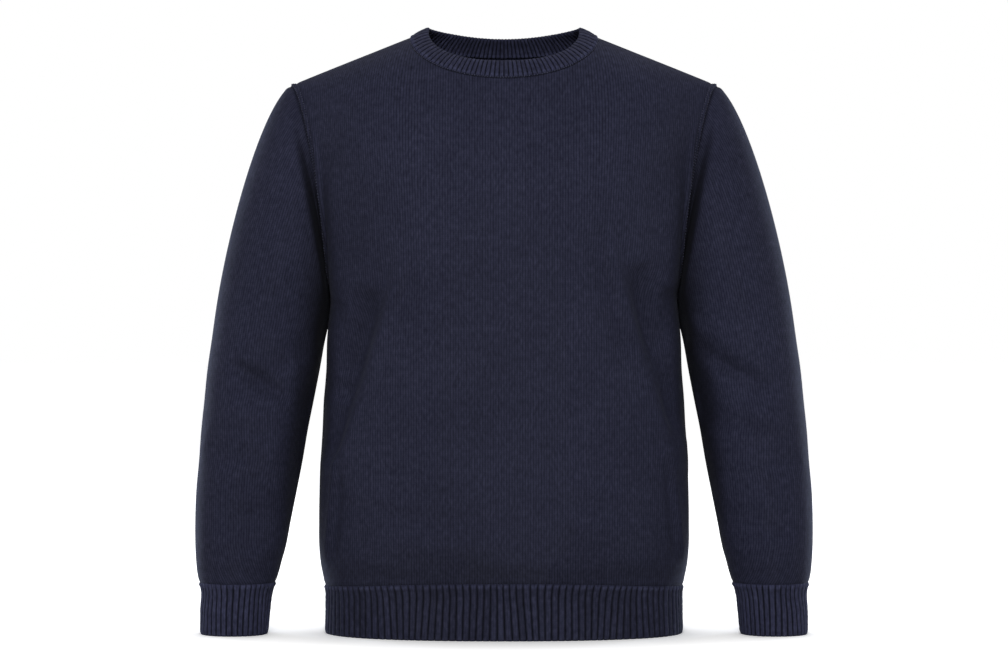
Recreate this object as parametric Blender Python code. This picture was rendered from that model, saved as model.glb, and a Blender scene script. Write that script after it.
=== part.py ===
"""Crewneck sweater, filled out as worn, with nobody in it and its sleeves at its sides.

Sizes are in millimetres up to the last step, where MM turns them into metres.
The front faces -Y, the wearer's left is +X, and heights run up from the neck
ends of the shoulder seams, which are at height 0. Each piece is a thin wall:
an outer skin worked out from the sizes below, and a plain inner skin.

A skin is a grid of points. Its columns run anticlockwise, seen from above, and
its rows run upwards, so that its faces point out.
"""

import math

import bpy
import numpy as np

MM = 0.001

# Cloth and seams
JERSEY_WALL = 2.0
RIB_WALL = 2.2
BAND_WALL = 2.6
RIB_RAISE = 1.4
RIB_GROOVE_SHARE = 0.26
SEAM_GAP = 0.3

# Shoulders, neckline and armholes
NECK_HALF_WIDTH = 106
NECK_DROP = {"front": 53, "back": 14}
NECK_CROWN = 16
SHOULDER_HALF_WIDTH = 242
SHOULDER_SLOPE = 0.397
SHOULDER_SEAM_Y = 5
ARMPIT_HEIGHT = -296

# Hem rib: its seam rises a little from the sides to the middle
HEM_HEIGHT = -671
HEM_SEAM_SIDE = -617
HEM_SEAM_RISE = 9
HEM_RIBS = 66

# Sleeves and cuffs
CAP_FOOT_HEIGHT = -317
CUFF_SEAM_HEIGHT = -613
CUFF_HEIGHT = -671
CUFF_RIBS = 33
SLEEVE_GIRTH = 340

# Neckband, measured to its upper edge
BAND_HALF_WIDTH = 85.5
BAND_MIDDLE_Y = {"front": -78, "back": 66}
BAND_MIDDLE_HEIGHT = {"front": -33.5, "back": 6}
BAND_SIDE_HEIGHT = 12.5
BAND_SQUARENESS = {"front": 2.3, "back": 2.0}
BAND_DIP = {"front": 1, "back": 3}
BAND_BULGE = 1.2
BAND_RIBS = {"front": 52, "back": 42}

# Rows and columns of the walls
NECK_STEPS = {"front": 9, "back": 7}
SIDE_STEPS = 7
LOWER_ROWS = 11
ARMHOLE_ROWS = 11
ARMHOLE_GATHER = 1.2
CAP_ROWS = 6
ARM_ROWS = 12
RIB_ROWS = 2

# The body, by height: half its width, and how far its front and back stand off
BODY_COLUMNS = ("height", "half_width", "front", "back", "squareness")
BODY_SECTIONS = (
    (-671, 200.9, 97, 99, 2.3),
    (-644, 200.4, 96, 98, 2.3),
    (-617, 201.4, 98, 100, 2.3),
    (-608, 203.6, 101, 102, 2.32),
    (-595, 206.2, 108, 105, 2.37),
    (-579, 208.0, 114, 108, 2.42),
    (-545, 208.5, 120, 109, 2.5),
    (-511, 208.0, 123, 106, 2.5),
    (-477, 206.8, 124, 101, 2.5),
    (-443, 205.0, 125, 97, 2.5),
    (-409, 203.4, 126, 94, 2.5),
    (-375, 200.6, 127, 95, 2.5),
    (-341, 199.5, 129, 99, 2.5),
    (-296, 195.0, 130, 106, 2.5),
)
EVEN_SECTION = (195, 118, 2.5)
HEM_SECTION = (201, 98, 2.3)

# A sleeve, by height: its outer and inner lines from the body's middle, front and back,
# and how far back its inner line lies, behind the side of the body
ARM_COLUMNS = ("height", "outer", "inner", "front", "back", "squareness", "inner_back")
ARM_SECTIONS = (
    (-671, 340.2, 266.2, -51, 15, 2.1, 0),
    (-644, 340.2, 263.6, -52, 17, 2.1, 0),
    (-622, 339.6, 260.4, -53, 20, 2.1, 0),
    (-613, 341.9, 257.2, -55, 24, 2.1, 0),
    (-604, 344.4, 253.9, -57, 29, 2.1, 0),
    (-590, 346.0, 250.2, -60, 34, 2.15, 0),
    (-578, 346.8, 246.8, -61, 37, 2.2, 0),
    (-545, 347.4, 240.3, -62, 42, 2.2, 0),
    (-511, 346.4, 233.6, -62, 46, 2.2, 0),
    (-477, 343.5, 227.1, -62, 50, 2.2, 0),
    (-443, 341.3, 221.6, -61, 54, 2.2, 1),
    (-409, 338.0, 215.1, -61, 59, 2.2, 3),
    (-375, 334.8, 208.8, -60, 62, 2.2, 5.5),
    (-342, 330.3, 203.1, -59, 65, 2.15, 7.5),
    (-317, 327.0, 197.2, -58, 66, 2.1, 9),
)

# How the columns of each panel leave the armpit level and reach the shoulder
HANDLE_COLUMNS = ("mid_rise", "edge_rise", "edge_swell", "mid_reach", "edge_reach")
HANDLES = {
    "front": (160, 32, 60, 98, 60),
    "back": (210, 36, 62, 100, 62),
}
EDGE_TURN = 5
ARMHOLE_LEAN = 3
ARMHOLE_FLARE = 22
NECK_LEAN = 45

# How a sleeve leaves the armhole and then reaches its own line, at the shoulder and the armpit
CAP_OUT = {"shoulder": 30, "armpit": 1.5}
CAP_BACK = {"shoulder": 0, "armpit": 6}
CAP_DROP = {"shoulder": 21, "armpit": 7}
CAP_REACH = {"shoulder": 110, "armpit": 5}
CAP_SWELL = 20

# Soft folds, each from one place (across, height) to another, its depth and half width.
# They fade out over the last share of a panel before its side seams
FOLD_FADE = 0.08
PANEL_FOLDS = {
    "front": (
        (-108, -240, -188, -470, -9, 26),
        (102, -215, 192, -460, -9, 27),
        (-104, -290, -176, -520, 6, 24),
        (140, -345, 190, -500, 6, 20),
        (-150, -560, 20, -566, 4, 20),
        (40, -540, 170, -552, 3, 18),
    ),
    "back": (
        (-120, -240, -190, -440, -6, 32),
        (125, -235, 192, -450, -6, 32),
        (-190, -570, -120, -420, 4, 18),
        (188, -575, 130, -430, 4, 18),
        (-110, -470, 105, -480, -4, 26),
        (-90, -530, 95, -524, -3, 22),
    ),
}

# The same for the sleeves, across in degrees from the outer line to the front
SLEEVE_FOLDS = {
    "right": (
        (150, -335, 60, -420, -5, 20),
        (165, -395, 90, -450, -4, 18),
        (30, -455, 130, -500, -4, 20),
        (160, -520, 70, -550, -3, 18),
        (215, -340, 300, -425, -5, 20),
        (200, -430, 290, -480, -4, 20),
    ),
    "left": (
        (150, -340, 70, -410, -5, 20),
        (165, -405, 80, -465, -4, 18),
        (40, -470, 140, -505, -4, 20),
        (155, -530, 60, -556, -3, 18),
        (210, -350, 290, -430, -5, 20),
        (205, -440, 300, -500, -4, 20),
    ),
}

FACES = {"front": -1, "back": 1}
SIDES = {"right": -1, "left": 1}

COLOURS = {
    "jersey": (0.024, 0.027, 0.046, 1.0),
    "rib": (0.021, 0.023, 0.040, 1.0),
}
CLOTH_ROUGHNESS = 0.92
SHARP_ANGLE = 40

# How finely curves are measured, and how thick a wall may grow where its way out is shared
CURVE_SAMPLES = 721
HALVINGS = 40
SQUARE_LIMIT = 0.7


def read_rows(columns, rows):
    """A table as one array for each named column."""
    return {name: np.array([row[i] for row in rows], float) for i, name in enumerate(columns)}


BODY = read_rows(BODY_COLUMNS, BODY_SECTIONS)
ARM = read_rows(ARM_COLUMNS, ARM_SECTIONS)
NECK_SHARE = NECK_HALF_WIDTH / SHOULDER_HALF_WIDTH


def at_height(table, column, height):
    """A column of a table at any height, on a smooth curve through its rows."""
    levels, values = table["height"], table[column]
    slopes = np.gradient(values, levels)
    place = np.clip(np.searchsorted(levels, height) - 1, 0, len(levels) - 2)
    step = levels[place + 1] - levels[place]
    t = np.clip((height - levels[place]) / step, 0, 1)
    rise = t * t * (3 - 2 * t)
    leaving = slopes[place] * step * t * (1 - t) ** 2
    arriving = slopes[place + 1] * step * t * t * (t - 1)
    return mix(values[place], values[place + 1], rise) + leaving + arriving


def mix(a, b, share):
    """a at share 0, b at share 1."""
    return a + (b - a) * share


def unit(vectors):
    """The vectors at length 1."""
    return vectors / np.maximum(np.linalg.norm(vectors, axis=-1, keepdims=True), 1e-12)


def points_at(x, y, z):
    """Points from their coordinates, whatever the shapes of these."""
    return np.stack(np.broadcast_arrays(x, y, z), axis=-1).astype(float)


def rounded(angle, squareness):
    """Sine and cosine of an angle on a squared-off circle."""
    power = 2 / squareness
    sine, cosine = np.sin(angle), np.cos(angle)
    return np.sign(sine) * np.abs(sine) ** power, np.sign(cosine) * np.abs(cosine) ** power


def even_angles(section, fractions):
    """Angles that part a section evenly from its middle, 0, to its sides, -1 and 1."""
    half_width, depth, squareness = section
    angles = np.linspace(0, math.pi / 2, CURVE_SAMPLES)
    sine, cosine = rounded(angles, squareness)
    steps = np.hypot(np.diff(half_width * sine), np.diff(depth * cosine))
    length = np.concatenate([[0], np.cumsum(steps)])
    return np.sign(fractions) * np.interp(np.abs(fractions) * length[-1], length, angles)


def bezier(curve, t):
    """A point on each cubic curve that four control points give."""
    t = np.asarray(t, float)[..., None]
    start, leave, arrive, end = curve
    near = start * (1 - t) ** 3 + leave * 3 * t * (1 - t) ** 2
    return near + arrive * 3 * t * t * (1 - t) + end * t**3


def body_at(face, angle, height):
    """The body's skin at a height, by its angle from the middle of the face."""
    sine, cosine = rounded(angle, at_height(BODY, "squareness", height))
    x = at_height(BODY, "half_width", height) * sine
    y = FACES[face] * at_height(BODY, face, height) * cosine
    return points_at(x, y, height)


def hem_seam_height(angle):
    """The height of the seam between a panel and its hem rib."""
    return HEM_SEAM_SIDE + HEM_SEAM_RISE * np.cos(angle) ** 2


def shoulder_ridge(fraction):
    """The shoulder seam, and past its neck end a crown that the neckline cuts off."""
    x = SHOULDER_HALF_WIDTH * fraction
    past_neck = np.abs(x) - NECK_HALF_WIDTH
    crown = NECK_CROWN * (1 - (x / NECK_HALF_WIDTH) ** 2)
    return points_at(x, SHOULDER_SEAM_Y, np.where(past_neck > 0, -SHOULDER_SLOPE * past_neck, crown))


def upper_columns(face, fraction):
    """Control points of the columns that run from the armpit level to the shoulder."""
    handle = dict(zip(HANDLE_COLUMNS, HANDLES[face]))
    edge = np.abs(fraction) ** EDGE_TURN
    side = np.sign(fraction) * edge
    angle = even_angles(EVEN_SECTION, fraction)
    start = body_at(face, angle, ARMPIT_HEIGHT)
    climb = start - body_at(face, angle, ARMPIT_HEIGHT - 1)
    rise = mix(handle["mid_rise"], handle["edge_rise"], edge)
    swell = points_at(-side * ARMHOLE_LEAN, FACES[face] * handle["edge_swell"] * edge, 0)
    end = shoulder_ridge(fraction)
    reach = mix(handle["mid_reach"], handle["edge_reach"], edge)
    from_neck = (fraction / NECK_SHARE) ** 2
    lean = NECK_LEAN * from_neck * np.exp(1 - from_neck)
    across = np.sign(fraction) * lean - side * ARMHOLE_FLARE
    arrive = end + points_at(across, FACES[face] * reach, -SHOULDER_SLOPE * lean)
    return start, start + climb * rise[..., None] + swell, arrive, end


def neckline_height(face, x):
    """The height of the neckline seam at a distance from the middle."""
    share = np.clip(np.abs(x) / NECK_HALF_WIDTH, 0, 1)
    return -NECK_DROP[face] * np.sqrt(1 - share**2)


def column_top(face, fraction):
    """How far up its column the cloth ends: 1 on the shoulder, less at the neckline."""
    curve = upper_columns(face, fraction)
    low, high = np.zeros(fraction.shape), np.ones(fraction.shape)
    for _ in range(HALVINGS):
        middle = (low + high) / 2
        point = bezier(curve, middle)
        above = point[..., 2] > neckline_height(face, point[..., 0])
        high = np.where(above, middle, high)
        low = np.where(above, low, middle)
    return np.where(np.abs(fraction) < NECK_SHARE - 1e-6, low, 1)


def body_point(face, fraction, climb):
    """The panel's skin: climb is 0 at the hem seam, 1 at the armpits, 2 at the top."""
    angle = even_angles(EVEN_SECTION, fraction)
    height = mix(hem_seam_height(angle), ARMPIT_HEIGHT, np.clip(climb, 0, 1))
    lower = body_at(face, angle, height)
    share = np.clip(climb - 1, 0, 1) * column_top(face, fraction)
    upper = bezier(upper_columns(face, fraction), share)
    return np.where((climb > 1)[..., None], upper, lower)


def fold_push(folds, x, z):
    """How far the folds move the cloth out of its plain form."""
    push = np.zeros(np.shape(x))
    for x1, z1, x2, z2, depth, width in folds:
        run = math.hypot(x2 - x1, z2 - z1)
        along = ((x - x1) * (x2 - x1) + (z - z1) * (z2 - z1)) / run**2
        away = ((x - x1) * (z2 - z1) - (z - z1) * (x2 - x1)) / run
        length = np.clip(1 - np.abs(2 * along - 1) ** 3, 0, 1)
        push = push + depth * length * np.exp(-((away / width) ** 2))
    return push


def sleeve_fold_push(folds, around, height):
    """The same for a sleeve, laid out flat around its girth."""
    flat = [
        (a / 360 * SLEEVE_GIRTH, z1, b / 360 * SLEEVE_GIRTH, z2, depth, width)
        for a, z1, b, z2, depth, width in folds
    ]
    across = around / (2 * math.pi) * SLEEVE_GIRTH
    return sum(fold_push(flat, across + turn * SLEEVE_GIRTH, height) for turn in (-1, 0, 1))


def grid_normals(points, closed):
    """Unit vectors out of a grid of points."""
    if closed:
        across = np.roll(points, -1, axis=1) - np.roll(points, 1, axis=1)
    else:
        across = np.gradient(points, axis=1)
    return unit(np.cross(across, np.gradient(points, axis=0)))


def arm_at(side, around, height):
    """A sleeve's skin at a height, by its angle from the outer line to the front."""
    outer, inner = at_height(ARM, "outer", height), at_height(ARM, "inner", height)
    front, back = at_height(ARM, "front", height), at_height(ARM, "back", height)
    sine, cosine = rounded(around, at_height(ARM, "squareness", height))
    x = SIDES[side] * ((outer + inner) / 2 + (outer - inner) / 2 * cosine)
    behind = at_height(ARM, "inner_back", height) * ((1 - cosine) / 2) ** 2
    y = (front + back) / 2 - (back - front) / 2 * sine + behind
    return points_at(x, y, height)


def armhole(side, around):
    """The armhole seam, from the shoulder down the front and up the back."""
    edge = np.full(around.shape, float(SIDES[side]))
    down_front = bezier(upper_columns("front", edge), 1 - np.clip(around / math.pi, 0, 1))
    up_back = bezier(upper_columns("back", edge), np.clip(around / math.pi - 1, 0, 1))
    return np.where((around <= math.pi)[..., None], down_front, up_back)


def sleeve_point(side, around, reach):
    """The sleeve's skin: reach is 0 at the armhole, 1 at the cap's foot, 2 at the cuff."""
    under = (1 - np.cos(around)) / 2
    out, back, drop, length = (
        mix(sizes["shoulder"], sizes["armpit"], under)
        for sizes in (CAP_OUT, CAP_BACK, CAP_DROP, CAP_REACH)
    )
    start = armhole(side, around)
    leave = points_at(SIDES[side] * out, back - CAP_SWELL * np.sin(around), -drop)
    end = arm_at(side, around, CAP_FOOT_HEIGHT)
    climb = end - arm_at(side, around, CAP_FOOT_HEIGHT - 1)
    arrive = climb * length[..., None]
    cap = bezier((start, start + leave, end + arrive, end), np.clip(reach, 0, 1))
    height = mix(CAP_FOOT_HEIGHT, CUFF_SEAM_HEIGHT, np.clip(reach - 1, 0, 1))
    return np.where((reach > 1)[..., None], arm_at(side, around, height), cap)


class Wall:
    """A piece of cloth: its outer skin, and what its seams ask of its edges."""

    def __init__(self, skin, thickness, closed):
        self.skin = skin
        self.thickness = thickness
        self.closed = closed
        self.out = grid_normals(skin, closed)
        self.seam_out = np.zeros(skin.shape)
        self.shift = np.zeros(skin.shape)

    def outer(self):
        return self.skin + self.shift

    def shared_out(self):
        """The way out, which at a seam the walls on both sides share."""
        sewn = np.any(self.seam_out != 0, axis=-1, keepdims=True)
        return np.where(sewn, unit(self.seam_out), self.out)

    def inner(self):
        """The plain inner skin."""
        shared = self.shared_out()
        square = np.sum(shared * self.out, axis=-1, keepdims=True)
        return self.outer() - shared * self.thickness / np.clip(square, SQUARE_LIMIT, 1)


class Edge:
    """Some places along the edge of a wall, and a step from them into it."""

    def __init__(self, wall, rows, columns, step):
        rows, columns = np.broadcast_arrays(rows, columns)
        inside = (rows + step[0], columns + step[1])
        self.wall = wall
        self.places = (rows, columns)
        self.points = wall.skin[self.places]
        self.out = wall.out[self.places]
        self.inward = unit(wall.skin[inside] - self.points)


def sew(edge, other):
    """Sets two edges that share their points face to face, a seam's gap apart."""
    along = unit(np.gradient(edge.points, axis=0))
    out = edge.out + other.out + edge.inward + other.inward
    out = unit(out - along * np.sum(out * along, axis=-1, keepdims=True))
    across = np.cross(along, out)
    parting = np.sum((edge.inward - other.inward) * across, axis=-1, keepdims=True)
    gap = across * np.sign(parting) * SEAM_GAP / 2
    for piece, shift in ((edge, gap), (other, -gap)):
        piece.wall.shift[piece.places] += shift
        piece.wall.seam_out[piece.places] += out


def cut_square(wall, rows, columns, axis):
    """Makes an edge go straight through its wall in the plane of its seam."""
    out = wall.shared_out()[rows, columns]
    out[..., axis] = 0
    wall.seam_out[rows, columns] = unit(out)


def armhole_spots():
    """Shares of the way up the armhole, closer together at the shoulder."""
    return 1 - (1 - np.linspace(0, 1, ARMHOLE_ROWS + 1)) ** ARMHOLE_GATHER


def panel(face):
    """The front or back: columns from side to side, rows from hem seam to shoulder."""
    neck = NECK_SHARE * np.sin(np.linspace(0, math.pi / 2, NECK_STEPS[face] + 1))
    side = np.linspace(NECK_SHARE, 1, SIDE_STEPS + 1)[1:]
    half = np.concatenate([neck, side])
    across = np.concatenate([-half[:0:-1], half]) * -FACES[face]
    lower = np.linspace(0, 1, LOWER_ROWS + 1)
    upper = 1 + armhole_spots()
    fraction, climb = np.meshgrid(across, np.concatenate([lower, upper[1:]]))
    skin = body_point(face, fraction, climb)
    push = fold_push(PANEL_FOLDS[face], skin[..., 0], skin[..., 2])
    push = push * np.clip((1 - np.abs(fraction)) / FOLD_FADE, 0, 1)
    push = push * np.clip(climb * LOWER_ROWS, 0, 1)
    skin = skin + grid_normals(skin, False) * push[..., None]
    return Wall(skin, JERSEY_WALL, closed=False)


def sleeve(side):
    """One sleeve: a tube with columns around it, rows from cuff seam to armhole."""
    spots = armhole_spots()
    turns = np.concatenate([1 - spots[:0:-1], 1 + spots[:-1]]) * math.pi
    turns = turns[(-SIDES[side] * np.arange(turns.size)) % turns.size]
    arm = np.linspace(2, 1, ARM_ROWS + 1)
    cap = np.linspace(1, 0, CAP_ROWS + 1)
    around, reach = np.meshgrid(turns, np.concatenate([arm, cap[1:]]))
    skin = sleeve_point(side, around, reach)
    push = sleeve_fold_push(SLEEVE_FOLDS[side], around, skin[..., 2])
    push = push * np.clip((2 - reach) * ARM_ROWS, 0, 1) * np.clip(reach, 0, 1)
    skin = skin + grid_normals(skin, True) * push[..., None]
    return Wall(skin, JERSEY_WALL, closed=True)


def sew_body(walls):
    """Joins the panels and sleeves at the side, shoulder and armhole seams."""
    front, back = walls["front"], walls["back"]
    last_row = LOWER_ROWS + ARMHOLE_ROWS
    lower, upper = np.arange(LOWER_ROWS + 1), np.arange(LOWER_ROWS, last_row + 1)
    shoulder = np.arange(SIDE_STEPS + 1)
    front_last, back_last = front.skin.shape[1] - 1, back.skin.shape[1] - 1
    for side, way in SIDES.items():
        arm = walls[side + "_sleeve"]
        front_edge = 0 if way < 0 else front_last
        back_edge = back_last if way < 0 else 0
        sew(
            Edge(front, lower, front_edge, (0, -way)),
            Edge(back, lower, back_edge, (0, way)),
        )
        sew(
            Edge(front, last_row, np.abs(front_edge - shoulder), (-1, 0)),
            Edge(back, last_row, np.abs(back_edge - shoulder), (-1, 0)),
        )
        up_front = ARMHOLE_ROWS - np.arange(ARMHOLE_ROWS + 1)
        up_back = ARMHOLE_ROWS + np.arange(ARMHOLE_ROWS + 1)
        for wall, column, turns, step in (
            (front, front_edge, up_front, (0, -way)),
            (back, back_edge, up_back, (0, way)),
        ):
            around = (-way * turns) % (2 * ARMHOLE_ROWS)
            sew(
                Edge(wall, upper, column, step),
                Edge(arm, arm.skin.shape[0] - 1, around, (-1, 0)),
            )
            cut_square(wall, lower, column, 1)
            cut_square(wall, last_row, np.abs(column - shoulder), 1)


def neck_edge(wall):
    """The panel's neckline: its points and its way out, with the edge drawn back."""
    columns = slice(SIDE_STEPS, wall.skin.shape[1] - SIDE_STEPS)
    points = wall.skin[-1, columns]
    out = wall.shared_out()[-1, columns]
    to_neck = unit(np.cross(out, np.gradient(points, axis=0)))
    wall.shift[-1, columns] -= to_neck * SEAM_GAP / 2
    return np.concatenate([points + to_neck * SEAM_GAP / 2, out], axis=1)


def rib_places(count):
    """Where a row of ribs has its points, in ribs, and how far out they stand."""
    land = RIB_GROOVE_SHARE / 2
    places = [rib + part for rib in range(count) for part in (0, land, 1 - land)]
    return np.array(places), np.tile([0, RIB_RAISE, RIB_RAISE], count), np.arange(count)


def hem_rib(face):
    """Half of the hem rib, from side seam to side seam: outer and inner points."""
    places, raises, grooves = rib_places(HEM_RIBS)
    places, raises = np.append(places, HEM_RIBS), np.append(raises, 0)
    grooves = np.append(grooves, HEM_RIBS)

    def skin_at(spots):
        fraction = (2 * spots / HEM_RIBS - 1) * -FACES[face]
        angle, share = np.meshgrid(
            even_angles(HEM_SECTION, fraction), np.linspace(0, 1, RIB_ROWS + 1)
        )
        top = hem_seam_height(angle) - SEAM_GAP / 2
        skin = body_at(face, angle, mix(HEM_HEIGHT, top, share))
        out = grid_normals(skin, False) * (1, 1, 0)
        out[:, 0] = (FACES[face], 0, 0)
        out[:, -1] = (-FACES[face], 0, 0)
        skin[:, [0, -1], 1] += FACES[face] * SEAM_GAP / 2
        return skin, unit(out)

    skin, out = skin_at(places)
    plain, plain_out = skin_at(grooves)
    return skin + out * raises[:, None], plain - plain_out * RIB_WALL


def cuff(side):
    """One cuff, a closed ring: outer and inner points."""
    places, raises, grooves = rib_places(CUFF_RIBS)

    def skin_at(spots):
        around, share = np.meshgrid(
            -SIDES[side] * 2 * math.pi * spots / CUFF_RIBS, np.linspace(0, 1, RIB_ROWS + 1)
        )
        height = mix(CUFF_HEIGHT, CUFF_SEAM_HEIGHT - SEAM_GAP / 2, share)
        skin = arm_at(side, around, height)
        return skin, unit(grid_normals(skin, True) * (1, 1, 0))

    skin, out = skin_at(places)
    plain, plain_out = skin_at(grooves)
    return skin + out * raises[:, None], plain - plain_out * RIB_WALL


def spread(points, fractions):
    """Values at fractions of the length of a line of points, which come first in them."""
    steps = np.linalg.norm(np.diff(points[:, :3], axis=0), axis=1)
    length = np.concatenate([[0], np.cumsum(steps)]) / steps.sum()
    return np.stack([np.interp(fractions, length, values) for values in points.T], axis=-1)


def band_edge(face):
    """The neckband's upper edge over the front or the back, side to side."""
    angle = np.linspace(-math.pi / 2, math.pi / 2, CURVE_SAMPLES) * -FACES[face]
    sine, cosine = rounded(angle, BAND_SQUARENESS[face])
    y = mix(SHOULDER_SEAM_Y, BAND_MIDDLE_Y[face], cosine)
    z = mix(BAND_SIDE_HEIGHT, BAND_MIDDLE_HEIGHT[face], cosine ** BAND_DIP[face])
    return points_at(BAND_HALF_WIDTH * sine, y, z)


def band_skin(seam, face, fractions):
    """The band from its seam to its upper edge, at fractions along one face."""
    low, high = spread(seam, fractions), spread(band_edge(face), fractions)
    low, seam_out = low[:, :3], unit(low[:, 3:])
    own_out = unit(np.cross(np.gradient(low, axis=0), high - low))
    skin, out = [], []
    for share in np.linspace(0, 1, RIB_ROWS + 1):
        bulge = BAND_BULGE * math.sin(math.pi * share)
        skin.append(mix(low, high, share) + own_out * bulge)
        out.append(seam_out if share == 0 else own_out)
    return np.stack(skin), np.stack(out)


def neckband(seams):
    """The neckband, a closed ring from the panels' neckline points: outer and inner."""
    front, back = seams["front"], seams["back"]
    front[0] = back[-1] = (front[0] + back[-1]) / 2
    front[-1] = back[0] = (front[-1] + back[0]) / 2
    outer, inner = [], []
    for face in FACES:
        places, raises, grooves = rib_places(BAND_RIBS[face])
        skin, out = band_skin(seams[face], face, places / BAND_RIBS[face])
        outer.append(skin + out * raises[:, None])
        plain, plain_out = band_skin(seams[face], face, grooves / BAND_RIBS[face])
        inner.append(plain - plain_out * BAND_WALL)
    return np.concatenate(outer, axis=1), np.concatenate(inner, axis=1)


def wall_faces(outer, inner, closed):
    """Faces of a wall. The outer grid may have several columns for each inner one."""
    points = np.concatenate([outer.reshape(-1, 3), inner.reshape(-1, 3)])
    outside = np.arange(outer[..., 0].size).reshape(outer.shape[:2])
    inside = np.arange(inner[..., 0].size).reshape(inner.shape[:2]) + outside.size
    if closed:
        outside = np.concatenate([outside, outside[:, :1]], axis=1)
        inside = np.concatenate([inside, inside[:, :1]], axis=1)
    faces = grid_faces(outside) + grid_faces(inside[:, ::-1])
    faces += edge_faces(points, outside[0], inside[0])
    faces += edge_faces(points, outside[-1, ::-1], inside[-1, ::-1])
    if not closed:
        faces += edge_faces(points, outside[::-1, 0], inside[::-1, 0])
        faces += edge_faces(points, outside[:, -1], inside[:, -1])
    return [tuple(int(point) for point in face) for face in faces]


def grid_faces(grid):
    """The four-sided faces of a grid of point numbers."""
    corners = (grid[:-1, :-1], grid[:-1, 1:], grid[1:, 1:], grid[1:, :-1])
    return list(zip(*(corner.ravel() for corner in corners)))


def edge_faces(points, outside, inside):
    """A wall's edge, as triangles from each inner span to its outer points."""
    ratio = (len(outside) - 1) // (len(inside) - 1)
    faces = []
    for span in range(len(inside) - 1):
        near, far = inside[span], inside[span + 1]
        line = outside[span * ratio : (span + 1) * ratio + 1]
        turn = len(line) // 2
        if ratio == 1 and distance(points, far, line[0]) < distance(points, near, line[1]):
            turn = 0
        faces += [(near, line[k + 1], line[k]) for k in range(turn)]
        faces.append((near, far, line[turn]))
        faces += [(far, line[k + 1], line[k]) for k in range(turn, ratio)]
    return faces


def distance(points, a, b):
    """The distance between two numbered points."""
    return np.linalg.norm(points[a] - points[b])


def cloth_material(name, knit):
    """A matt cloth finish for one piece."""
    material = bpy.data.materials.new(name + "_" + knit)
    material.use_nodes = True
    shader = material.node_tree.nodes["Principled BSDF"]
    shader.inputs["Base Color"].default_value = COLOURS[knit]
    shader.inputs["Roughness"].default_value = CLOTH_ROUGHNESS
    shader.inputs["Metallic"].default_value = 0.0
    return material


def add_piece(name, outer, inner, closed, knit):
    """Adds one piece of cloth as a closed solid."""
    points = np.concatenate([outer.reshape(-1, 3), inner.reshape(-1, 3)]) * MM
    mesh = bpy.data.meshes.new(name)
    mesh.from_pydata(points.tolist(), [], wall_faces(outer, inner, closed))
    mesh.update()
    mesh.shade_smooth()
    mesh.set_sharp_from_angle(angle=math.radians(SHARP_ANGLE))
    mesh.materials.append(cloth_material(name, knit))
    bpy.context.scene.collection.objects.link(bpy.data.objects.new(name, mesh))


def clear_scene():
    """Removes whatever the scene holds."""
    for thing in list(bpy.data.objects):
        bpy.data.objects.remove(thing, do_unlink=True)


def main():
    clear_scene()
    walls = {face: panel(face) for face in FACES}
    walls.update({side + "_sleeve": sleeve(side) for side in SIDES})
    sew_body(walls)
    for wall in walls.values():
        cut_square(wall, 0, slice(None), 2)
        wall.shift[0, :, 2] += SEAM_GAP / 2
    seams = {face: neck_edge(walls[face]) for face in FACES}
    for name, wall in walls.items():
        add_piece(name, wall.outer(), wall.inner(), wall.closed, "jersey")
    for face in FACES:
        add_piece("hem_rib_" + face, *hem_rib(face), False, "rib")
    for side in SIDES:
        add_piece(side + "_cuff", *cuff(side), True, "rib")
    add_piece("neckband", *neckband(seams), True, "rib")


main()
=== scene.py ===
"""Looks of the crewneck sweater: fine knit shells on its solids, ribs, seams and light.

The shells repeat the surfaces that the solids were made on, from the same sizes,
with finer steps and the smaller creases. Sizes are in millimetres up to the last
step, where MM turns them into metres. The front faces -Y, the wearer's left is +X,
and height 0 is at the neck ends of the shoulder seams.

A skin is a grid of points. Its columns run anticlockwise, seen from above, and its
rows run upwards, so that its faces point out.
"""

import math

import bpy
import numpy as np
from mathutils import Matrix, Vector


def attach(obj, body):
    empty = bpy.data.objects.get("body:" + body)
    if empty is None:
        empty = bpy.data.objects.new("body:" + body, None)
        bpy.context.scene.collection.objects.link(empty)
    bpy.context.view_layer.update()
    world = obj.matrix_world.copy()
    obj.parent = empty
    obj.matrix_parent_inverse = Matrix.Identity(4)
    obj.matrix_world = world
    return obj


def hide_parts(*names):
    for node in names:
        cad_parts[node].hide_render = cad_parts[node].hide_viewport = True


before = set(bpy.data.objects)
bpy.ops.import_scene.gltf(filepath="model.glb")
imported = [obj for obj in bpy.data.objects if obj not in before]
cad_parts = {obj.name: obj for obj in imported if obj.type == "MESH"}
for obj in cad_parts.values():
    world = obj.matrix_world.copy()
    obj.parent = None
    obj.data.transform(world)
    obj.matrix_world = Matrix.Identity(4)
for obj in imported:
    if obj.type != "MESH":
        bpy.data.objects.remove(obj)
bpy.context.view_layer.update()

MM = 0.001

# The camera, as in the photo: level, three metres in front of the sweater
CAMERA_PLACE = (0.0, -3.0, -0.337)
CAMERA_LENS = 94.8
CAMERA_SENSOR = 36.0
CAMERA_SIGHT = (0.1, 60)

# The knit: the width of a wale and the height of a course
WALE = 2.9
COURSE = 2.0
RIB_WALES = 2

# Cloth and seams
JERSEY_WALL = 2.0
RIB_WALL = 2.2
BAND_WALL = 2.6

# Shoulders, neckline and armholes
NECK_HALF_WIDTH = 106
NECK_DROP = {"front": 53, "back": 14}
NECK_CROWN = 16
SHOULDER_HALF_WIDTH = 242
SHOULDER_SLOPE = 0.397
SHOULDER_SEAM_Y = 5
ARMPIT_HEIGHT = -296

# Hem rib: its seam rises a little from the sides to the middle
HEM_HEIGHT = -671
HEM_SEAM_SIDE = -617
HEM_SEAM_RISE = 9
HEM_RIBS = 66

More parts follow.
